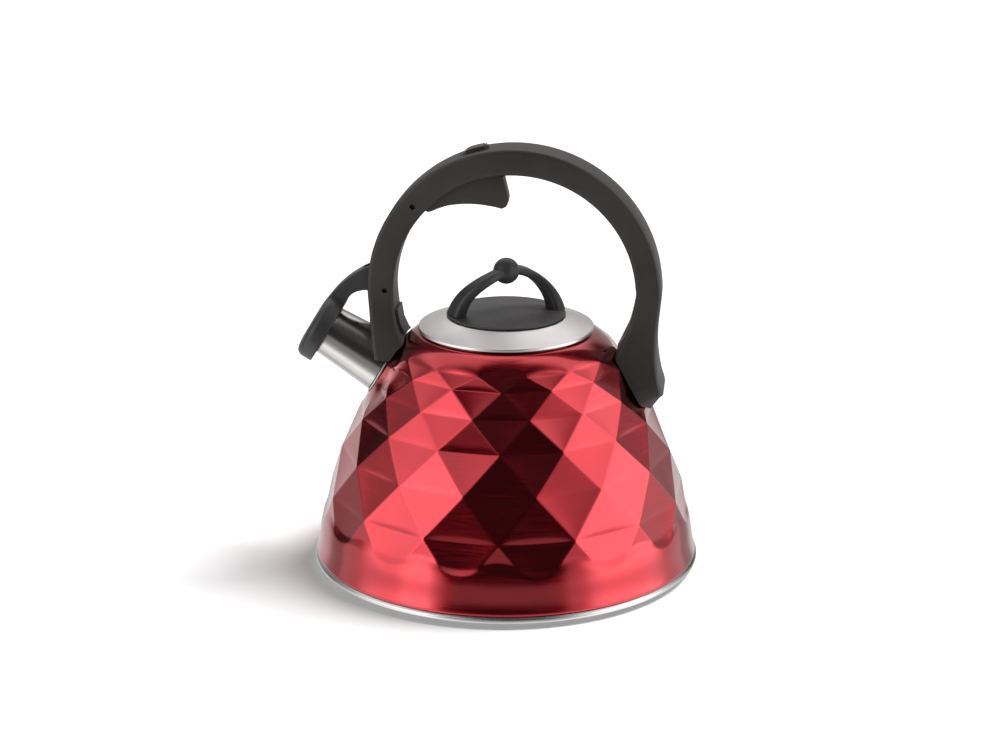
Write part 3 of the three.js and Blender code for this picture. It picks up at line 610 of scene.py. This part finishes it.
def with_neck(corners, faces):
    """Opens the shell round the spout and draws it out into the neck under the flange."""
    neck_r = NECK_R * MM

    def reach_at(angle):
        beside = NECK_BESIDE * np.abs(np.sin(angle)) ** 1.5
        below = NECK_BELOW * np.clip(-np.cos(angle), 0, 1)
        return (NECK_REACH + beside + below) * MM

    top = FLANGE_LOW - 0.15 * MM
    tree = BVHTree.FromPolygons([Vector(c) for c in corners], [tuple(f) for f in faces.tolist()])

    def seat(out, angle):
        """Height of the shell along the spout's axis, beside it."""
        side = SPOUT_UP * math.cos(angle) + SPOUT_SIDE * math.sin(angle)
        start = SPOUT_AT + side * out + SPOUT_DIR * 0.05
        hit = tree.ray_cast(Vector(start), Vector(-SPOUT_DIR))[0]
        return (np.array(hit) - SPOUT_AT) @ SPOUT_DIR

    relative = corners - SPOUT_AT
    along = relative @ SPOUT_DIR
    up, across = relative @ SPOUT_UP, relative @ SPOUT_SIDE
    reach = reach_at(np.arctan2(across, up))
    deep = -(NECK_DEEP + NECK_DEEP_BESIDE * (np.abs(across) > np.abs(up))) * MM
    inside = (np.hypot(up, across) < reach) & (along > deep)
    kept = faces[~inside[faces].any(1)]
    edges = dict.fromkeys(e for a, b, c in kept.tolist() for e in ((a, b), (b, c), (c, a)))
    near = (np.hypot(up, across) < reach + 6 * MM) & (along > deep - 3 * MM)
    loop_next = {a: b for a, b in edges if (b, a) not in edges and near[a] and near[b]}
    start = next(iter(loop_next))
    loop, at = [start], loop_next[start]
    while at != start:
        loop.append(at)
        at = loop_next[at]
    angles = np.arctan2(across[loop], up[loop])
    corners = corners.copy()
    for index, angle in zip(loop, angles):
        corners[index] = spout_point(reach_at(angle), angle, seat(reach_at(angle), angle))
    samples = np.meshgrid(np.linspace(neck_r, NECK_REACH * MM, 6), np.linspace(0, 2 * math.pi, 49))
    sample_out, sample_angle = (part.ravel() for part in samples)
    heights = np.array([seat(out, angle) for out, angle in zip(sample_out, sample_angle)])

    def terms(out, angle):
        x, y = out * np.cos(angle), out * np.sin(angle)
        return np.stack([np.ones_like(x), x, x * x, y * y], -1)

    fit = np.linalg.lstsq(terms(sample_out, sample_angle), heights, rcond=None)[0]
    added, rings = [], [list(loop)]
    for k in range(1, NECK_STEPS + 1):
        x = math.sin(math.pi / 2 * k / NECK_STEPS)
        ring = []
        t = eased(min(1.0, 1.8 * k / NECK_STEPS))
        for angle in angles:
            reach = reach_at(angle)
            out = reach - (reach - neck_r) * x
            base = seat(out, angle) * (1 - t) + terms(out, angle) @ fit * t
            hollow = NECK_HOLLOW * MM * abs(math.sin(angle)) * math.sin(math.pi * x ** 1.3) ** 1.5
            rise = 1 - math.sqrt(max(0.0, 1 - x ** 5))
            ring.append(len(corners) + len(added))
            added.append(spout_point(out, angle, base - hollow + (top - base) * rise))
        rings.append(ring)
    extra = []
    n = len(loop)
    for low, high in zip(rings, rings[1:]):
        for j in range(n):
            a, b, c, d = low[j], low[(j + 1) % n], high[(j + 1) % n], high[j]
            extra += [(b, a, d), (b, d, c)]
    return np.vstack([corners, np.array(added)]), np.vstack([kept, np.array(extra)])


def spout_point(out, angle, along):
    """Place given by its distance from the spout's axis, the angle round it and the way along it."""
    side = SPOUT_UP * math.cos(angle) + SPOUT_SIDE * math.sin(angle)
    return SPOUT_AT + side * out + SPOUT_DIR * along


# ---------------------------------------------------------------- base, spout and lid

DISC_GROOVES = 6


def base_pan():
    """Pan with the rolled rim that shows round the foot."""
    low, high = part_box("base_pan")
    r, bottom, top = high.x / MM, low.z / MM, high.z / MM
    profile = rounded([
        (0, 4.8), (r - 5.5, 4.8), (r - 4.2, bottom + 0.6), (r - 1.8, bottom), (r, bottom + 0.9),
        (r, top - 1.2), (r - 1.2, top), (r - 3.2, top), (r - 4.6, top - 0.3), (0, top - 0.3),
    ], 1.1, closed=False)
    pan = turned("base_rim", profile, 220, closed=False)
    declare(pan, RIM_STEEL, "steel", KETTLE, "base_pan")


def base_disc():
    """Disc with shallow round grooves in its underside."""
    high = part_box("base_capsule")[1]
    r, top = high.x / MM, high.z / MM
    profile = [(0, 0.25)]
    for k in range(DISC_GROOVES):
        at = r * (k + 1) / (DISC_GROOVES + 1)
        profile += [(at - 0.8, 0.0 if k else 0.25), (at - 0.3, 0.35), (at + 0.3, 0.35), (at + 0.8, 0.0)]
    profile += rounded([(r - 3, 0.0), (r - 0.8, 0.0), (r, 0.9), (r, top), (0, top)], 0.6, closed=False)
    disc = turned("base_disc", profile, 160, closed=False)
    declare(disc, ALUMINIUM, "aluminium", KETTLE, "base_capsule")


def spout():
    """Tapered pipe with a small lip, open at both ends."""
    low, tip = TUBE_LOW / MM, TUBE_TIP / MM
    root = 0.8
    tip_r, root_r, tail_r, wall = 14.2, 17.2, 16.5, 0.8
    outer = [(tail_r, low), (tail_r, root - 0.6), (root_r, root + 0.2)]
    outer += [
        (root_r + (tip_r - root_r) * (1 - (1 - t) ** 1.15), root + 0.2 + (tip - root - 1.4) * t)
        for t in (0.1, 0.25, 0.5, 0.75, 1.0)
    ]
    lip = rounded([
        (tip_r, tip - 1.1), (tip_r + 0.35, tip), (tip_r - wall, tip), (tip_r - wall, tip - 1.2),
    ], 0.4)
    inner = [(root_r - wall - 0.3, root), (tail_r - wall, low)]
    tube = turned("spout_pipe", outer + lip + inner, 144, SPOUT_AT, SPOUT_DIR)
    declare(tube, BRIGHT_STEEL, "steel", KETTLE, "spout_tube")


def flange():
    low, high = FLANGE_LOW / MM, FLANGE_HIGH / MM
    bore, r = FLANGE_BORE / MM, FLANGE_R / MM
    profile = rounded([(bore, low), (r, low), (r, high), (bore, high)], 0.45)
    ring = turned("spout_ring", profile, 144, SPOUT_AT, SPOUT_DIR)
    declare(ring, BRIGHT_STEEL, "steel", KETTLE, "spout_flange")


def screw_holes(obj, r, top):
    """Drills the two holes for the knob's screws."""
    for side in ("front", "rear"):
        at = centre(f"knob_screw_{side}")
        combine(obj, plug("drill", r, -9, 9, 24, np.array([at.x, at.y, top * MM])), "DIFFERENCE")
    smooth(obj)


def lid_plate():
    """Dished plate with a rolled lip and holes for the knob's screws."""
    low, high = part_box("lid_plate")
    r, bottom, top = high.x / MM, low.z / MM, high.z / MM
    disc_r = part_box("knob_base")[1].x / MM
    rim = [
        (0, top - 1.0), (disc_r - 1, top - 1.0), (r - 2.2, bottom + 0.9), (r - 1.3, bottom + 0.1, 0.3),
        (r, bottom + 0.3, 0.7), (r, bottom + 2.0, 0.9), (r - 1.6, bottom + 2.5, 1.2),
        (disc_r + 0.4, top - 0.12, 1.5), (0, top),
    ]
    plate = turned("lid_dish", rounded(rim, 0.8, closed=False, steps=6), 220, closed=False)
    screw_holes(plate, 2.0, top)
    declare(plate, LID_STEEL, "steel", LID, "lid_plate")


def lid_ring(name, node_name, material, slot, corner):
    """Ring as large as a CAD node, with rounded corners."""
    low, high, r, bore = (v / MM for v in extent(node_name, ORIGIN, UP))
    ring = turned(name, rounded([(bore, low), (r, low), (r, high), (bore, high)], corner), 160)
    declare(ring, material, slot, LID, node_name)


def knob_disc():
    """Slightly domed disc that the bow stands on."""
    low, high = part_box("knob_base")
    r, bottom, top = high.x / MM, low.z / MM, high.z / MM
    profile = rounded([
        (0, bottom), (r - 0.4, bottom, 0.1), (r, bottom + 0.25, 0.2), (r, bottom + 0.75, 0.4),
        (r - 0.9, bottom + 1.15, 0.8), (r * 0.6, top - 0.35, 8.0), (0, top),
    ], 0.5, closed=False, steps=6)
    disc = turned("knob_disc", profile, 180, closed=False)
    screw_holes(disc, 2.1, top)
    declare(disc, KNOB_BLACK, "black_plastic", LID, "knob_base")


BOW_TURN = math.atan2(centre("knob_screw_rear").y, centre("knob_screw_rear").x)
BOW = dict(
    foot=29.2, low=142.1, rise=28.0, sway=6.5, foot_thick=8.3, top_thick=4.5, foot_wide=13.0, top_wide=9.4,
    lean=0.3,
)
BALL_R = 7.4


def knob_bow():
    """Strap that sways like an S in plan between its two feet, with a ball at its top.

    Its feet are cut off at the edge of the disc that they stand on.
    """
    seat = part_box("knob_bow")[0].z / MM
    ball_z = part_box("knob_bow")[1].z / MM - BALL_R
    start = math.asin((seat - BOW["low"]) / BOW["rise"]) * 0.9
    angles = np.linspace(start, math.pi - start, 60)
    loops = []
    for a in angles:
        along, up = -math.cos(a), math.sin(a)
        thick = (BOW["foot_thick"] + (BOW["top_thick"] - BOW["foot_thick"]) * up) / 2
        wide = (BOW["foot_wide"] + (BOW["top_wide"] - BOW["foot_wide"]) * up) / 2
        flat = [(-thick, -wide), (thick, -wide), (thick, wide), (-thick, wide)]
        lean = BOW["lean"] * abs(along)
        sway = BOW["sway"] * math.sin(math.pi * along)
        middle = np.array([along * BOW["foot"], sway, BOW["low"] + up * BOW["rise"]])
        loop = []
        for out, side in rounded(flat, min(thick, wide) * 0.8):
            x, y = along * out, side
            turned_x = x * math.cos(lean) - y * math.sin(lean)
            turned_y = x * math.sin(lean) + y * math.cos(lean)
            loop.append(middle + np.array([turned_x, turned_y, up * out]))
        loops.append(np.array(loop) * MM)
    bow = loft("knob_handle", loops)
    half_round = [(BALL_R * math.sin(t), -BALL_R * math.cos(t)) for t in np.linspace(0, math.pi, 33)]
    ball = turned("ball", half_round, 64, np.array([0, 0, ball_z * MM]), closed=False)
    combine(bow, ball, "UNION")
    bow.data.transform(Matrix.Rotation(BOW_TURN, 4, "Z"))
    moulded(bow, 0.45, 6)
    disc_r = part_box("knob_base")[1].x / MM + 0.1
    combine(bow, plug("space", disc_r, seat, seat + 60, 120), "INTERSECT")
    smooth(bow, 50)
    declare(bow, BLACK_SOFT, "black_plastic", LID, "knob_bow")


# ---------------------------------------------------------------- handle

ARCH = dict(x=5.0, z=159.3, out=82.3, x_in=5.2, z_in=159.0, inn=67.8)
GRIP_HALF = 11.5
GRIP_ROUND = 2.7
FRONT_LEG = [
    ((-72.8, 121.0), (-46.0, 120.0), 18.5), ((-73.3, 125.5), (-52.0, 126.0), 18.5),
    ((-74.0, 130.0), (-56.8, 131.5), 17.5), ((-75.6, 139.0), (-60.4, 140.0), 14.0),
    ((-76.4, 148.0), (-61.8, 148.3), 12.0),
]
REAR_LEG = [
    ((86.1, 146.0), (70.3, 145.4), 11.5), ((85.4, 138.0), (68.0, 138.6), 12.0),
    ((85.3, 129.5), (64.0, 129.5), 13.5), ((85.8, 122.0), (60.0, 118.0), 16.0),
    ((87.3, 112.0), (62.0, 103.0), 19.0), ((89.3, 106.0), (64.0, 92.0), 18.0),
    ((89.6, 104.0), (66.0, 85.6), 12.4), ((89.2, 102.6), (72.0, 79.7), 5.0),
]
CHANNEL_HALF = 6.2    # half the width of the room for the trigger and the lever
LIMB_HALF = 2.0
TRIGGER_SLOT_R = 75.9
TRIGGER_AT = [c / MM for c in frame["joints"][0]["pos_m"]]
LEVER_AT = [c / MM for c in frame["joints"][1]["pos_m"]]
BORE_R = 1.5
BLADE_HALF = 5.5      # of the trigger's blade and the lever's arm
THROUGH = 20.0        # half the length of a bar that cuts right through
LINK_SLOT = dict(half=1.5, low=166.3, high=173.4)
BUTTON_X, BUTTON_LONG, BUTTON_END_R = -17.5, 15.4, 4.6
FOOT_CLEAR = 0.4


def arc(x, z, r, start, end, steps=40):
    """Points on a circle from one angle to another, in degrees."""
    angles = np.radians(np.linspace(start, end, steps + 1))
    return [(x + r * math.cos(a), z + r * math.sin(a)) for a in angles]


def curved(points, steps):
    """Smooth curve through points, given as arrays of any size."""
    points = [np.array(p, float) for p in points]
    full = [2 * points[0] - points[1], *points, 2 * points[-1] - points[-2]]
    out = []
    for a, b, c, d in zip(full, full[1:], full[2:], full[3:]):
        for k in range(steps):
            t = k / steps
            out.append(0.5 * (2 * b + (c - a) * t + (2 * a - 5 * b + 4 * c - d) * t * t
                              + (3 * b - a - 3 * c + d) * t ** 3))
    out.append(points[-1])
    return out


def handle_loops():
    """Rounded sections of the handle from the front foot over the arch to the rear foot."""
    arch = []
    for a in np.radians(np.linspace(180, 0, 37)):
        outer = (ARCH["x"] + ARCH["out"] * math.cos(a), ARCH["z"] + ARCH["out"] * math.sin(a))
        inner = (ARCH["x_in"] + ARCH["inn"] * math.cos(a), ARCH["z_in"] + ARCH["inn"] * math.sin(a))
        arch.append((*outer, *inner, GRIP_HALF))
    flat = [(*outer, *inner, half) for outer, inner, half in FRONT_LEG]
    flat += arch + [(*outer, *inner, half) for outer, inner, half in REAR_LEG]
    loops = []
    for xo, zo, xi, zi, half in curved(flat, 3):
        outer, inner = np.array([xo, zo]), np.array([xi, zi])
        deep = np.linalg.norm(outer - inner)
        across = (outer - inner) / deep
        corner = min(GRIP_ROUND, half * 0.6)
        loop = []
        for u, y in rounded([(0, -half), (deep, -half), (deep, half), (0, half)], corner, steps=5):
            x, z = inner + across * u
            loop.append((x, y, z))
        loops.append(np.array(loop) * MM)
    return loops


def foot_cutter():
    """Solid of the shell, grown a little, that the feet are cut to."""
    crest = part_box("body_shell")[1].z / MM
    profile = [(112.0, 5.0)]
    profile += [(r + FOOT_CLEAR, z) for r, z in RINGS]
    profile += [
        (58.6 + FOOT_CLEAR, crest - 6.2), (51.0 + FOOT_CLEAR, crest - 0.8), (48.4, crest + FOOT_CLEAR),
    ]
    around = [(math.sin(a), -math.cos(a)) for a in FIRST + np.arange(60) * STEP / 4]
    return loft("foot_cutter", [np.array([(r * x, r * y, z) for x, y in around]) * MM for r, z in profile])


def spout_cutter():
    """Neck, flange and pipe, grown a little."""
    low, high = FLANGE_LOW / MM, FLANGE_HIGH / MM
    r = FLANGE_R / MM + FOOT_CLEAR
    profile = [
        (0, low - 12), (27 + FOOT_CLEAR, low - 12), (20.9, low - 3), (19.4, low - 0.9), (r, low - FOOT_CLEAR),
        (r, high + FOOT_CLEAR), (17.6, high + FOOT_CLEAR), (14.9, TUBE_TIP / MM + 4), (0, TUBE_TIP / MM + 4),
    ]
    return turned("spout_cutter", profile, 96, SPOUT_AT, SPOUT_DIR, closed=False)


def bar(name, x, z, r, half, sides=32):
    """Round bar along Y, in millimetres."""
    return prism(name, arc(x, z, r, 0, 360, sides)[:-1], half)


def pill_outline(grow):
    """Outline of the thumb button seen from above."""
    r, straight = BUTTON_END_R + grow, BUTTON_LONG / 2 - BUTTON_END_R
    return arc(BUTTON_X + straight, 0, r, -90, 90, 16) + arc(BUTTON_X - straight, 0, r, 90, 270, 16)


def upright(name, outline, low, high):
    """Upright prism from an outline in XY, in millimetres."""
    return loft(name, [np.array([(x, y, z) for x, y in outline]) * MM for z in (low, high)])


def handle():
    """The black moulding, with its rooms for the trigger, the lever and the thumb button."""
    body = loft("handle_arch", handle_loops())
    lever_x, _, lever_z = LEVER_AT
    mouth = [(-92, 181), (-72, 181), (-66, 175), (-66, 156.2), (-70, 151), (-92, 151)]
    slot = arc(ARCH["x_in"], ARCH["z_in"], TRIGGER_SLOT_R, 86, 141)
    slot += arc(ARCH["x_in"], ARCH["z_in"], ARCH["inn"] - 6, 141, 87)
    channel = arc(ARCH["x"], ARCH["z"], 80.3, 180, 128) + arc(ARCH["x_in"], ARCH["z_in"], 68.6, 124, 180)
    channel += [(lever_x + 3.4, lever_z - 3.5), (-76, lever_z - 3.5)]
    pocket = upright("pocket", pill_outline(0.45), 225, 250)
    combine(pocket, bar("pocket_floor", ARCH["x_in"], ARCH["z_in"], 77.2, 30, 180), "DIFFERENCE")
    screw_at = np.array([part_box("rear_handle_screw")[0].x, 0, centre("rear_handle_screw").z])
    cutters = [
        foot_cutter(), spout_cutter(), prism("mouth", mouth, CHANNEL_HALF), prism("slot", slot, CHANNEL_HALF),
        prism("channel", channel, CHANNEL_HALF - 0.05), pocket,
        bar("trigger_bore", TRIGGER_AT[0], TRIGGER_AT[2], BORE_R, THROUGH),
        bar("lever_bore", lever_x, lever_z, BORE_R, THROUGH),
    ]
    counterbore = [(0, -14), (3.9, -14), (3.9, 2.5), (2.0, 2.5), (2.0, 10), (0, 10)]
    cutters.append(turned("driver", counterbore, 32, screw_at, np.array([1.0, 0.0, 0.0]), closed=False))
    for cutter in cutters:
        combine(body, cutter, "DIFFERENCE")
    smooth(body, 32)
    declare(body, BLACK, "black_plastic", KETTLE, "handle")


# ---------------------------------------------------------------- moving pieces

def trigger():
    """Finger blade with its hub and the limb that runs down inside the front of the arch."""
    x, _, z = TRIGGER_AT
    belly = curved([
        (-44.6, 204.6), (-42.4, 204.2), (-36.2, 206.7), (-30.6, 208.3), (-22, 209.2), (-13.9, 209.0),
        (-5.6, 207.8),
    ], 5)
    top = arc(ARCH["x_in"], ARCH["z_in"], 70.0, 103, 131, 24)
    nose = rounded([
        (-5.6, 207.8, 0), (-2.2, 206.9, 1.4), (0.9, 208.2, 2.6), (1.5, 212.5, 3.0), (-1.4, 225.2, 0.6),
        (*top[0], 0),
    ], 1)[1:-1]
    blade = prism("trigger_blade", belly + nose + top, BLADE_HALF)
    bevelled(blade, 1.1, 3, 50.0)
    apply_modifiers(blade)
    neck = prism("neck", [(-43.0, 205.0), (-40.0, 211.5), (x, z + 3.8), (x, z - 3.8)], LIMB_HALF)
    limb = prism("limb", [
        (x + 3.0, z - 2.6), (x - 1, z + 4.0), (-60.0, 199.6), (-66.6, 189.5), (-71.0, 180.0),
        (-74.1, 171.0), (-74.3, 165.3), (-69.1, 165.3), (-69.0, 171.5), (-66.0, 180.5),
        (-61.5, 188.5), (-55.0, 197.5),
    ], LIMB_HALF)
    hub = bar("hub", x, z, 4.4, LIMB_HALF, 40)
    for piece in (neck, limb, hub):
        combine(blade, piece, "UNION")
    middle, half = centre("link_pin").x / MM, LINK_SLOT["half"]
    slot = prism("slot", [
        (middle + side * half, LINK_SLOT[end])
        for side, end in ((-1, "low"), (1, "low"), (1, "high"), (-1, "high"))
    ], THROUGH)
    for cut in (bar("bore", x, z, BORE_R, THROUGH), slot):
        combine(blade, cut, "DIFFERENCE")
    smooth(blade, 40)
    declare(blade, BLACK, "black_plastic", TRIGGER, "trigger")


SPRING_ROOM = 2.3     # between the thumb button's spring at rest and the top of its room
HOOD = dict(r=20.6, low=36.7, high=47.8, cavity_r=15.5, cavity=45.8, outlet=3.0)


def spout_plane(along, up):
    """X and Z, in millimetres, of a place given along the spout and up from its axis."""
    place = SPOUT_AT / MM + SPOUT_DIR * along + SPOUT_UP * up
    return place[0], place[2]


def whistle_lever():
    """Arm that carries the hood over the spout's end, with its tail in the handle."""
    r, low, high = HOOD["r"], HOOD["low"], HOOD["high"]
    x, _, z = LEVER_AT
    cap = rounded([
        (0, low), (r, low, 0.9), (r, high - 1.2, 7.5), (r - 9, high, 9.0), (0, high + 0.05),
    ], 1, closed=False, steps=10)
    hood = turned("whistle_hood", cap, 128, SPOUT_AT, SPOUT_DIR, closed=False)
    outer = curved([
        (-71.0, 172.2), (-77.6, 171.6), (-84.0, 168.2), (-89.5, 164.4), (-93.8, 160.6), (-97.6, 156.6),
        spout_plane(high - 0.8, r - 3.5),
    ], 5)
    inner = curved([
        spout_plane(low + 0.4, r + 0.4), (-88.0, 154.2), (-84.9, 156.5), (-78.4, 158.0), (x - 1, z - 3),
    ], 5)
    root = [spout_plane(high - 2.0, 10), spout_plane(low + 1.0, 12)]
    tail = [(x, z + 3), (-69.4, 166.0), (-69.4, 170.2)]
    combine(hood, prism("arm", outer + root + inner + tail, BLADE_HALF), "UNION")
    combine(hood, bar("lever_hub", x, z, 3.0, BLADE_HALF, 40), "UNION")
    moulded(hood, 0.5, 9)
    room = turned("room", [
        (0, low - 20), (HOOD["cavity_r"], low - 20), (HOOD["cavity_r"], HOOD["cavity"]),
        (HOOD["outlet"], HOOD["cavity"]), (HOOD["outlet"], high + 5), (0, high + 5),
    ], 96, SPOUT_AT, SPOUT_DIR, closed=False)
    limb_room = prism("limb_room", [(-60, 161.2), (-73, 161.2), (-81, 170.5), (-81, 182), (-60, 182)], 2.5)
    link_at = centre("link_pin") / MM
    link_bore = bar("link_bore", link_at.x, link_at.z, 1.4, THROUGH)
    for cut in (room, limb_room, bar("bore", x, z, BORE_R, THROUGH), link_bore):
        combine(hood, cut, "DIFFERENCE")
    smooth(hood, 45)
    declare(hood, BLACK_SOFT, "black_plastic", WHISTLE, "whistle_lever")


def thumb_button():
    """Sloped thumb slide with three grip ridges."""
    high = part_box("thumb_button")[1]
    side = curved([(-26.0, 235.6), (-24.6, 236.6), (-21.6, 239.2), (-17.5, 240.7), (-14.2, 241.5)], 3)
    for at in (-13.4, -11.9, -10.4):
        side += [(at, 241.7), (at + 0.35, 242.05), (at + 0.8, 242.0), (at + 1.1, 241.5)]
    side += [(-8.0, 241.0), (-8.0, 225.0), (-26.0, 225.0)]
    block = upright("button_top", pill_outline(0), 230, high.z / MM + 2)
    combine(block, prism("shape", side, 12), "INTERSECT")
    combine(block, bar("under", ARCH["x_in"], ARCH["z_in"], 79.6, 30, 180), "DIFFERENCE")
    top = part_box("button_spring")[1].z / MM + SPRING_ROOM
    combine(block, plug("room", 3.0, top - 9, top, 32, np.array([BUTTON_X * MM, 0, 0])), "DIFFERENCE")
    smooth(block, 40)
    declare(block, BLACK_SOFT, "black_plastic", BUTTON, "thumb_button")


# ---------------------------------------------------------------- CAD nodes that stay

KEPT = {
    "spout_strainer": (BRIGHT_STEEL, 0.1), "front_leg_cover": (BLACK, 0.25),
    "front_bracket": (SMALL_STEEL, 0.15), "rear_bracket": (SMALL_STEEL, 0.15),
    "front_handle_screw": (SMALL_STEEL, 0.12), "rear_handle_screw": (SMALL_STEEL, 0.12),
    "trigger_pin": (PIN_STEEL_PAINTED_SHADE, 0.15), "lever_pin": (PIN_STEEL_PAINTED_SHADE, 0.15), "link_pin": (SMALL_STEEL, 0.12),
    "trigger_spring": (SMALL_STEEL, 0.0), "button_spring": (SMALL_STEEL, 0.0),
    "whistle_inner_plate": (BRIGHT_STEEL, 0.08), "whistle_outer_plate": (BRIGHT_STEEL, 0.08),
    "whistle_spacer": (SMALL_STEEL, 0.08), "whistle_seal": (SILICONE, 0.15),
    "knob_screw_front": (SMALL_STEEL, 0.12), "knob_screw_rear": (SMALL_STEEL, 0.12),
    "knob_washer_front": (SMALL_STEEL, 0.08), "knob_washer_rear": (SMALL_STEEL, 0.08),
}


def dress_kept():
    """Gives the CAD nodes that stay their materials and, where they have an edge width, small bevels."""
    for name, (material, edge) in KEPT.items():
        obj = frame["nodes"][name]
        obj.data.materials.clear()
        obj.data.materials.append(material)
        for polygon in obj.data.polygons:
            polygon.use_smooth = True
            polygon.material_index = 0
        obj.data.set_sharp_from_angle(angle=math.radians(35))
        if edge:
            bevelled(obj, edge, 2, 30.0)


# ---------------------------------------------------------------- studio

FLOOR_HALF = 6.0
CAMERA_AT = (0.13522, -1.32000, 0.52870)
CAMERA_TO = (-0.00348, -0.00037, 0.10900)
LENS = 88.35
FACING = math.degrees(math.atan2(CAMERA_AT[0], -CAMERA_AT[1]))
SUN_FROM, SUN_STRENGTH, SUN_SPREAD = (0.54, 0.25, 1.0), 4.0, 32.0

# What gloss reflects. A panel is its left and right edge in degrees from FACING, how soft each is,
# and its strength.
TALL_PANELS = [(-92, -41, 8, 7, 2.1), (53, 104, 9, 8, 2.9), (36, 56, 5, 6, 0.75)]
LOW_PANEL = (-64, -45, 4, 4, 1.2)
HIGH_PANEL = (-40, -22, 5, 5, 1.1)
WALLS = [(-115, -90, 3, 6, 0.42), (102, 133, 6, 3, 0.42)]
BACKDROP, CEILING, FRONT, GROUND, DARK = 0.4, 1.25, 0.05, 0.4, 0.035
MATT = 0.52           # what matt surfaces get from every side


def floor():
    """Pale floor; it doesn't show in reflections."""
    h = FLOOR_HALF
    obj = new_object("studio_floor", [(-h, -h, 0), (h, -h, 0), (h, h, 0), (-h, h, 0)], [(0, 1, 2, 3)])
    material, _, shader = base_material("studio_floor", (0.86, 0.86, 0.86), 0.9)
    shader.inputs["Specular IOR Level"].default_value = 0.0
    obj.data.materials.append(material)
    obj.visible_glossy = False


def world():
    """White to the camera, even to matt surfaces, and to gloss a dark room with soft panels."""
    made = bpy.data.worlds.new("studio")
    bpy.context.scene.world = made
    made.use_nodes = True
    tree = made.node_tree
    tree.nodes.clear()

    def maths(operation, *values):
        """One node for one or two values, and a chain of them for more."""
        result = values[0]
        for value in values[1:] or (None,):
            step = node(tree, "ShaderNodeMath", operation=operation)
            for socket, part in zip(step.inputs, (result, value)):
                if isinstance(part, (int, float)):
                    socket.default_value = part
                elif part is not None:
                    link(tree, part, socket)
            result = step.outputs[0]
        return result

    def product(*values):
        return maths("MULTIPLY", *values)

    def total(*values):
        return maths("ADD", *values)

    def ramp(value, low, high):
        """0 below low and 1 above high, or the other way round, with a soft step."""
        step = node(tree, "ShaderNodeMapRange", interpolation_type="SMOOTHSTEP")
        step.inputs["From Min"].default_value = min(low, high)
        step.inputs["From Max"].default_value = max(low, high)
        step.inputs["To Min"].default_value = 0.0 if low < high else 1.0
        step.inputs["To Max"].default_value = 1.0 if low < high else 0.0
        link(tree, value, step.inputs["Value"])
        return step.outputs["Result"]

    parts = node(tree, "ShaderNodeSeparateXYZ")
    link(tree, node(tree, "ShaderNodeTexCoord").outputs["Generated"], parts.inputs[0])
    x, y, z = parts.outputs
    around = product(maths("ARCTAN2", x, product(y, -1.0)), 180 / math.pi)
    around = maths("SUBTRACT", around, FACING)
    away = maths("ABSOLUTE", around)
    height = product(maths("ARCSINE", z), 180 / math.pi)

    def panel(left, right, soft_left, soft_right, strength):
        rise = ramp(around, left - soft_left, left + soft_left)
        fall = ramp(around, right + soft_right, right - soft_right)
        return product(rise, fall, strength)

    def part_of(share, value):
        """Goes from 1 - share to 1 as the value goes from 0 to 1."""
        return total(product(value, share), 1 - share)

    tall = product(
        ramp(height, 72, 34), part_of(0.3, ramp(height, 34, 4)), part_of(0.6, ramp(height, -12, 2)),
    )
    low_panel = product(panel(*LOW_PANEL), ramp(height, 42, 28))
    upright_light = product(total(*(panel(*row) for row in TALL_PANELS), low_panel), tall)
    high_panel = product(panel(*HIGH_PANEL), ramp(height, 20, 36), ramp(height, 56, 42))
    walls = total(*(panel(*row) for row in WALLS))
    backdrop = product(total(ramp(around, 146, 154), ramp(around, -130, -138)), BACKDROP)
    ceiling = product(ramp(height, 24, 42), ramp(away, 84, 125), ramp(height, 88, 74), CEILING)
    front = product(ramp(height, 22, 44), ramp(away, 40, 14), FRONT)
    ground = product(total(ramp(height, 2, -4), ramp(height, -18, -34)), GROUND)
    room = total(upright_light, high_panel, walls, backdrop, ceiling, front, ground, DARK)

    path = node(tree, "ShaderNodeLightPath")
    gloss, seen = path.outputs["Is Glossy Ray"], path.outputs["Is Camera Ray"]
    strength = total(product(room, gloss), product(maths("SUBTRACT", 1.0, gloss), MATT))
    strength = total(product(strength, maths("SUBTRACT", 1.0, seen)), seen)
    background = node(tree, "ShaderNodeBackground")
    link(tree, strength, background.inputs["Strength"])
    out = node(tree, "ShaderNodeOutputWorld")
    link(tree, background.outputs[0], out.inputs["Surface"])


def sun():
    """Soft light from above, to the right and behind; it doesn't show in reflections."""
    data = bpy.data.lights.new("key", "SUN")
    data.energy = SUN_STRENGTH
    data.angle = math.radians(SUN_SPREAD)
    light = bpy.data.objects.new("key", data)
    bpy.context.scene.collection.objects.link(light)
    light.rotation_euler = Vector(SUN_FROM).to_track_quat("Z", "Y").to_euler()
    light.visible_glossy = False


def studio():
    floor()
    world()
    sun()
    scene = bpy.context.scene
    scene.view_settings.view_transform = "Standard"
    data = bpy.data.cameras.new("camera")
    data.lens = LENS
    data.sensor_width = 36.0
    camera = bpy.data.objects.new("camera", data)
    scene.collection.objects.link(camera)
    camera.location = CAMERA_AT
    camera.rotation_euler = (Vector(CAMERA_TO) - Vector(CAMERA_AT)).to_track_quat("-Z", "Y").to_euler()
    scene.camera = camera


# ---------------------------------------------------------------- assembly

studio()
shell()
base_pan()
base_disc()
spout()
flange()
handle()
trigger()
whistle_lever()
thumb_button()
lid_plate()
lid_ring("lid_collar", "lid_skirt", RIM_STEEL, "steel", 0.3)
lid_ring("lid_gasket", "lid_seal", SILICONE, "silicone", 0.45)
knob_disc()
knob_bow()
dress_kept()
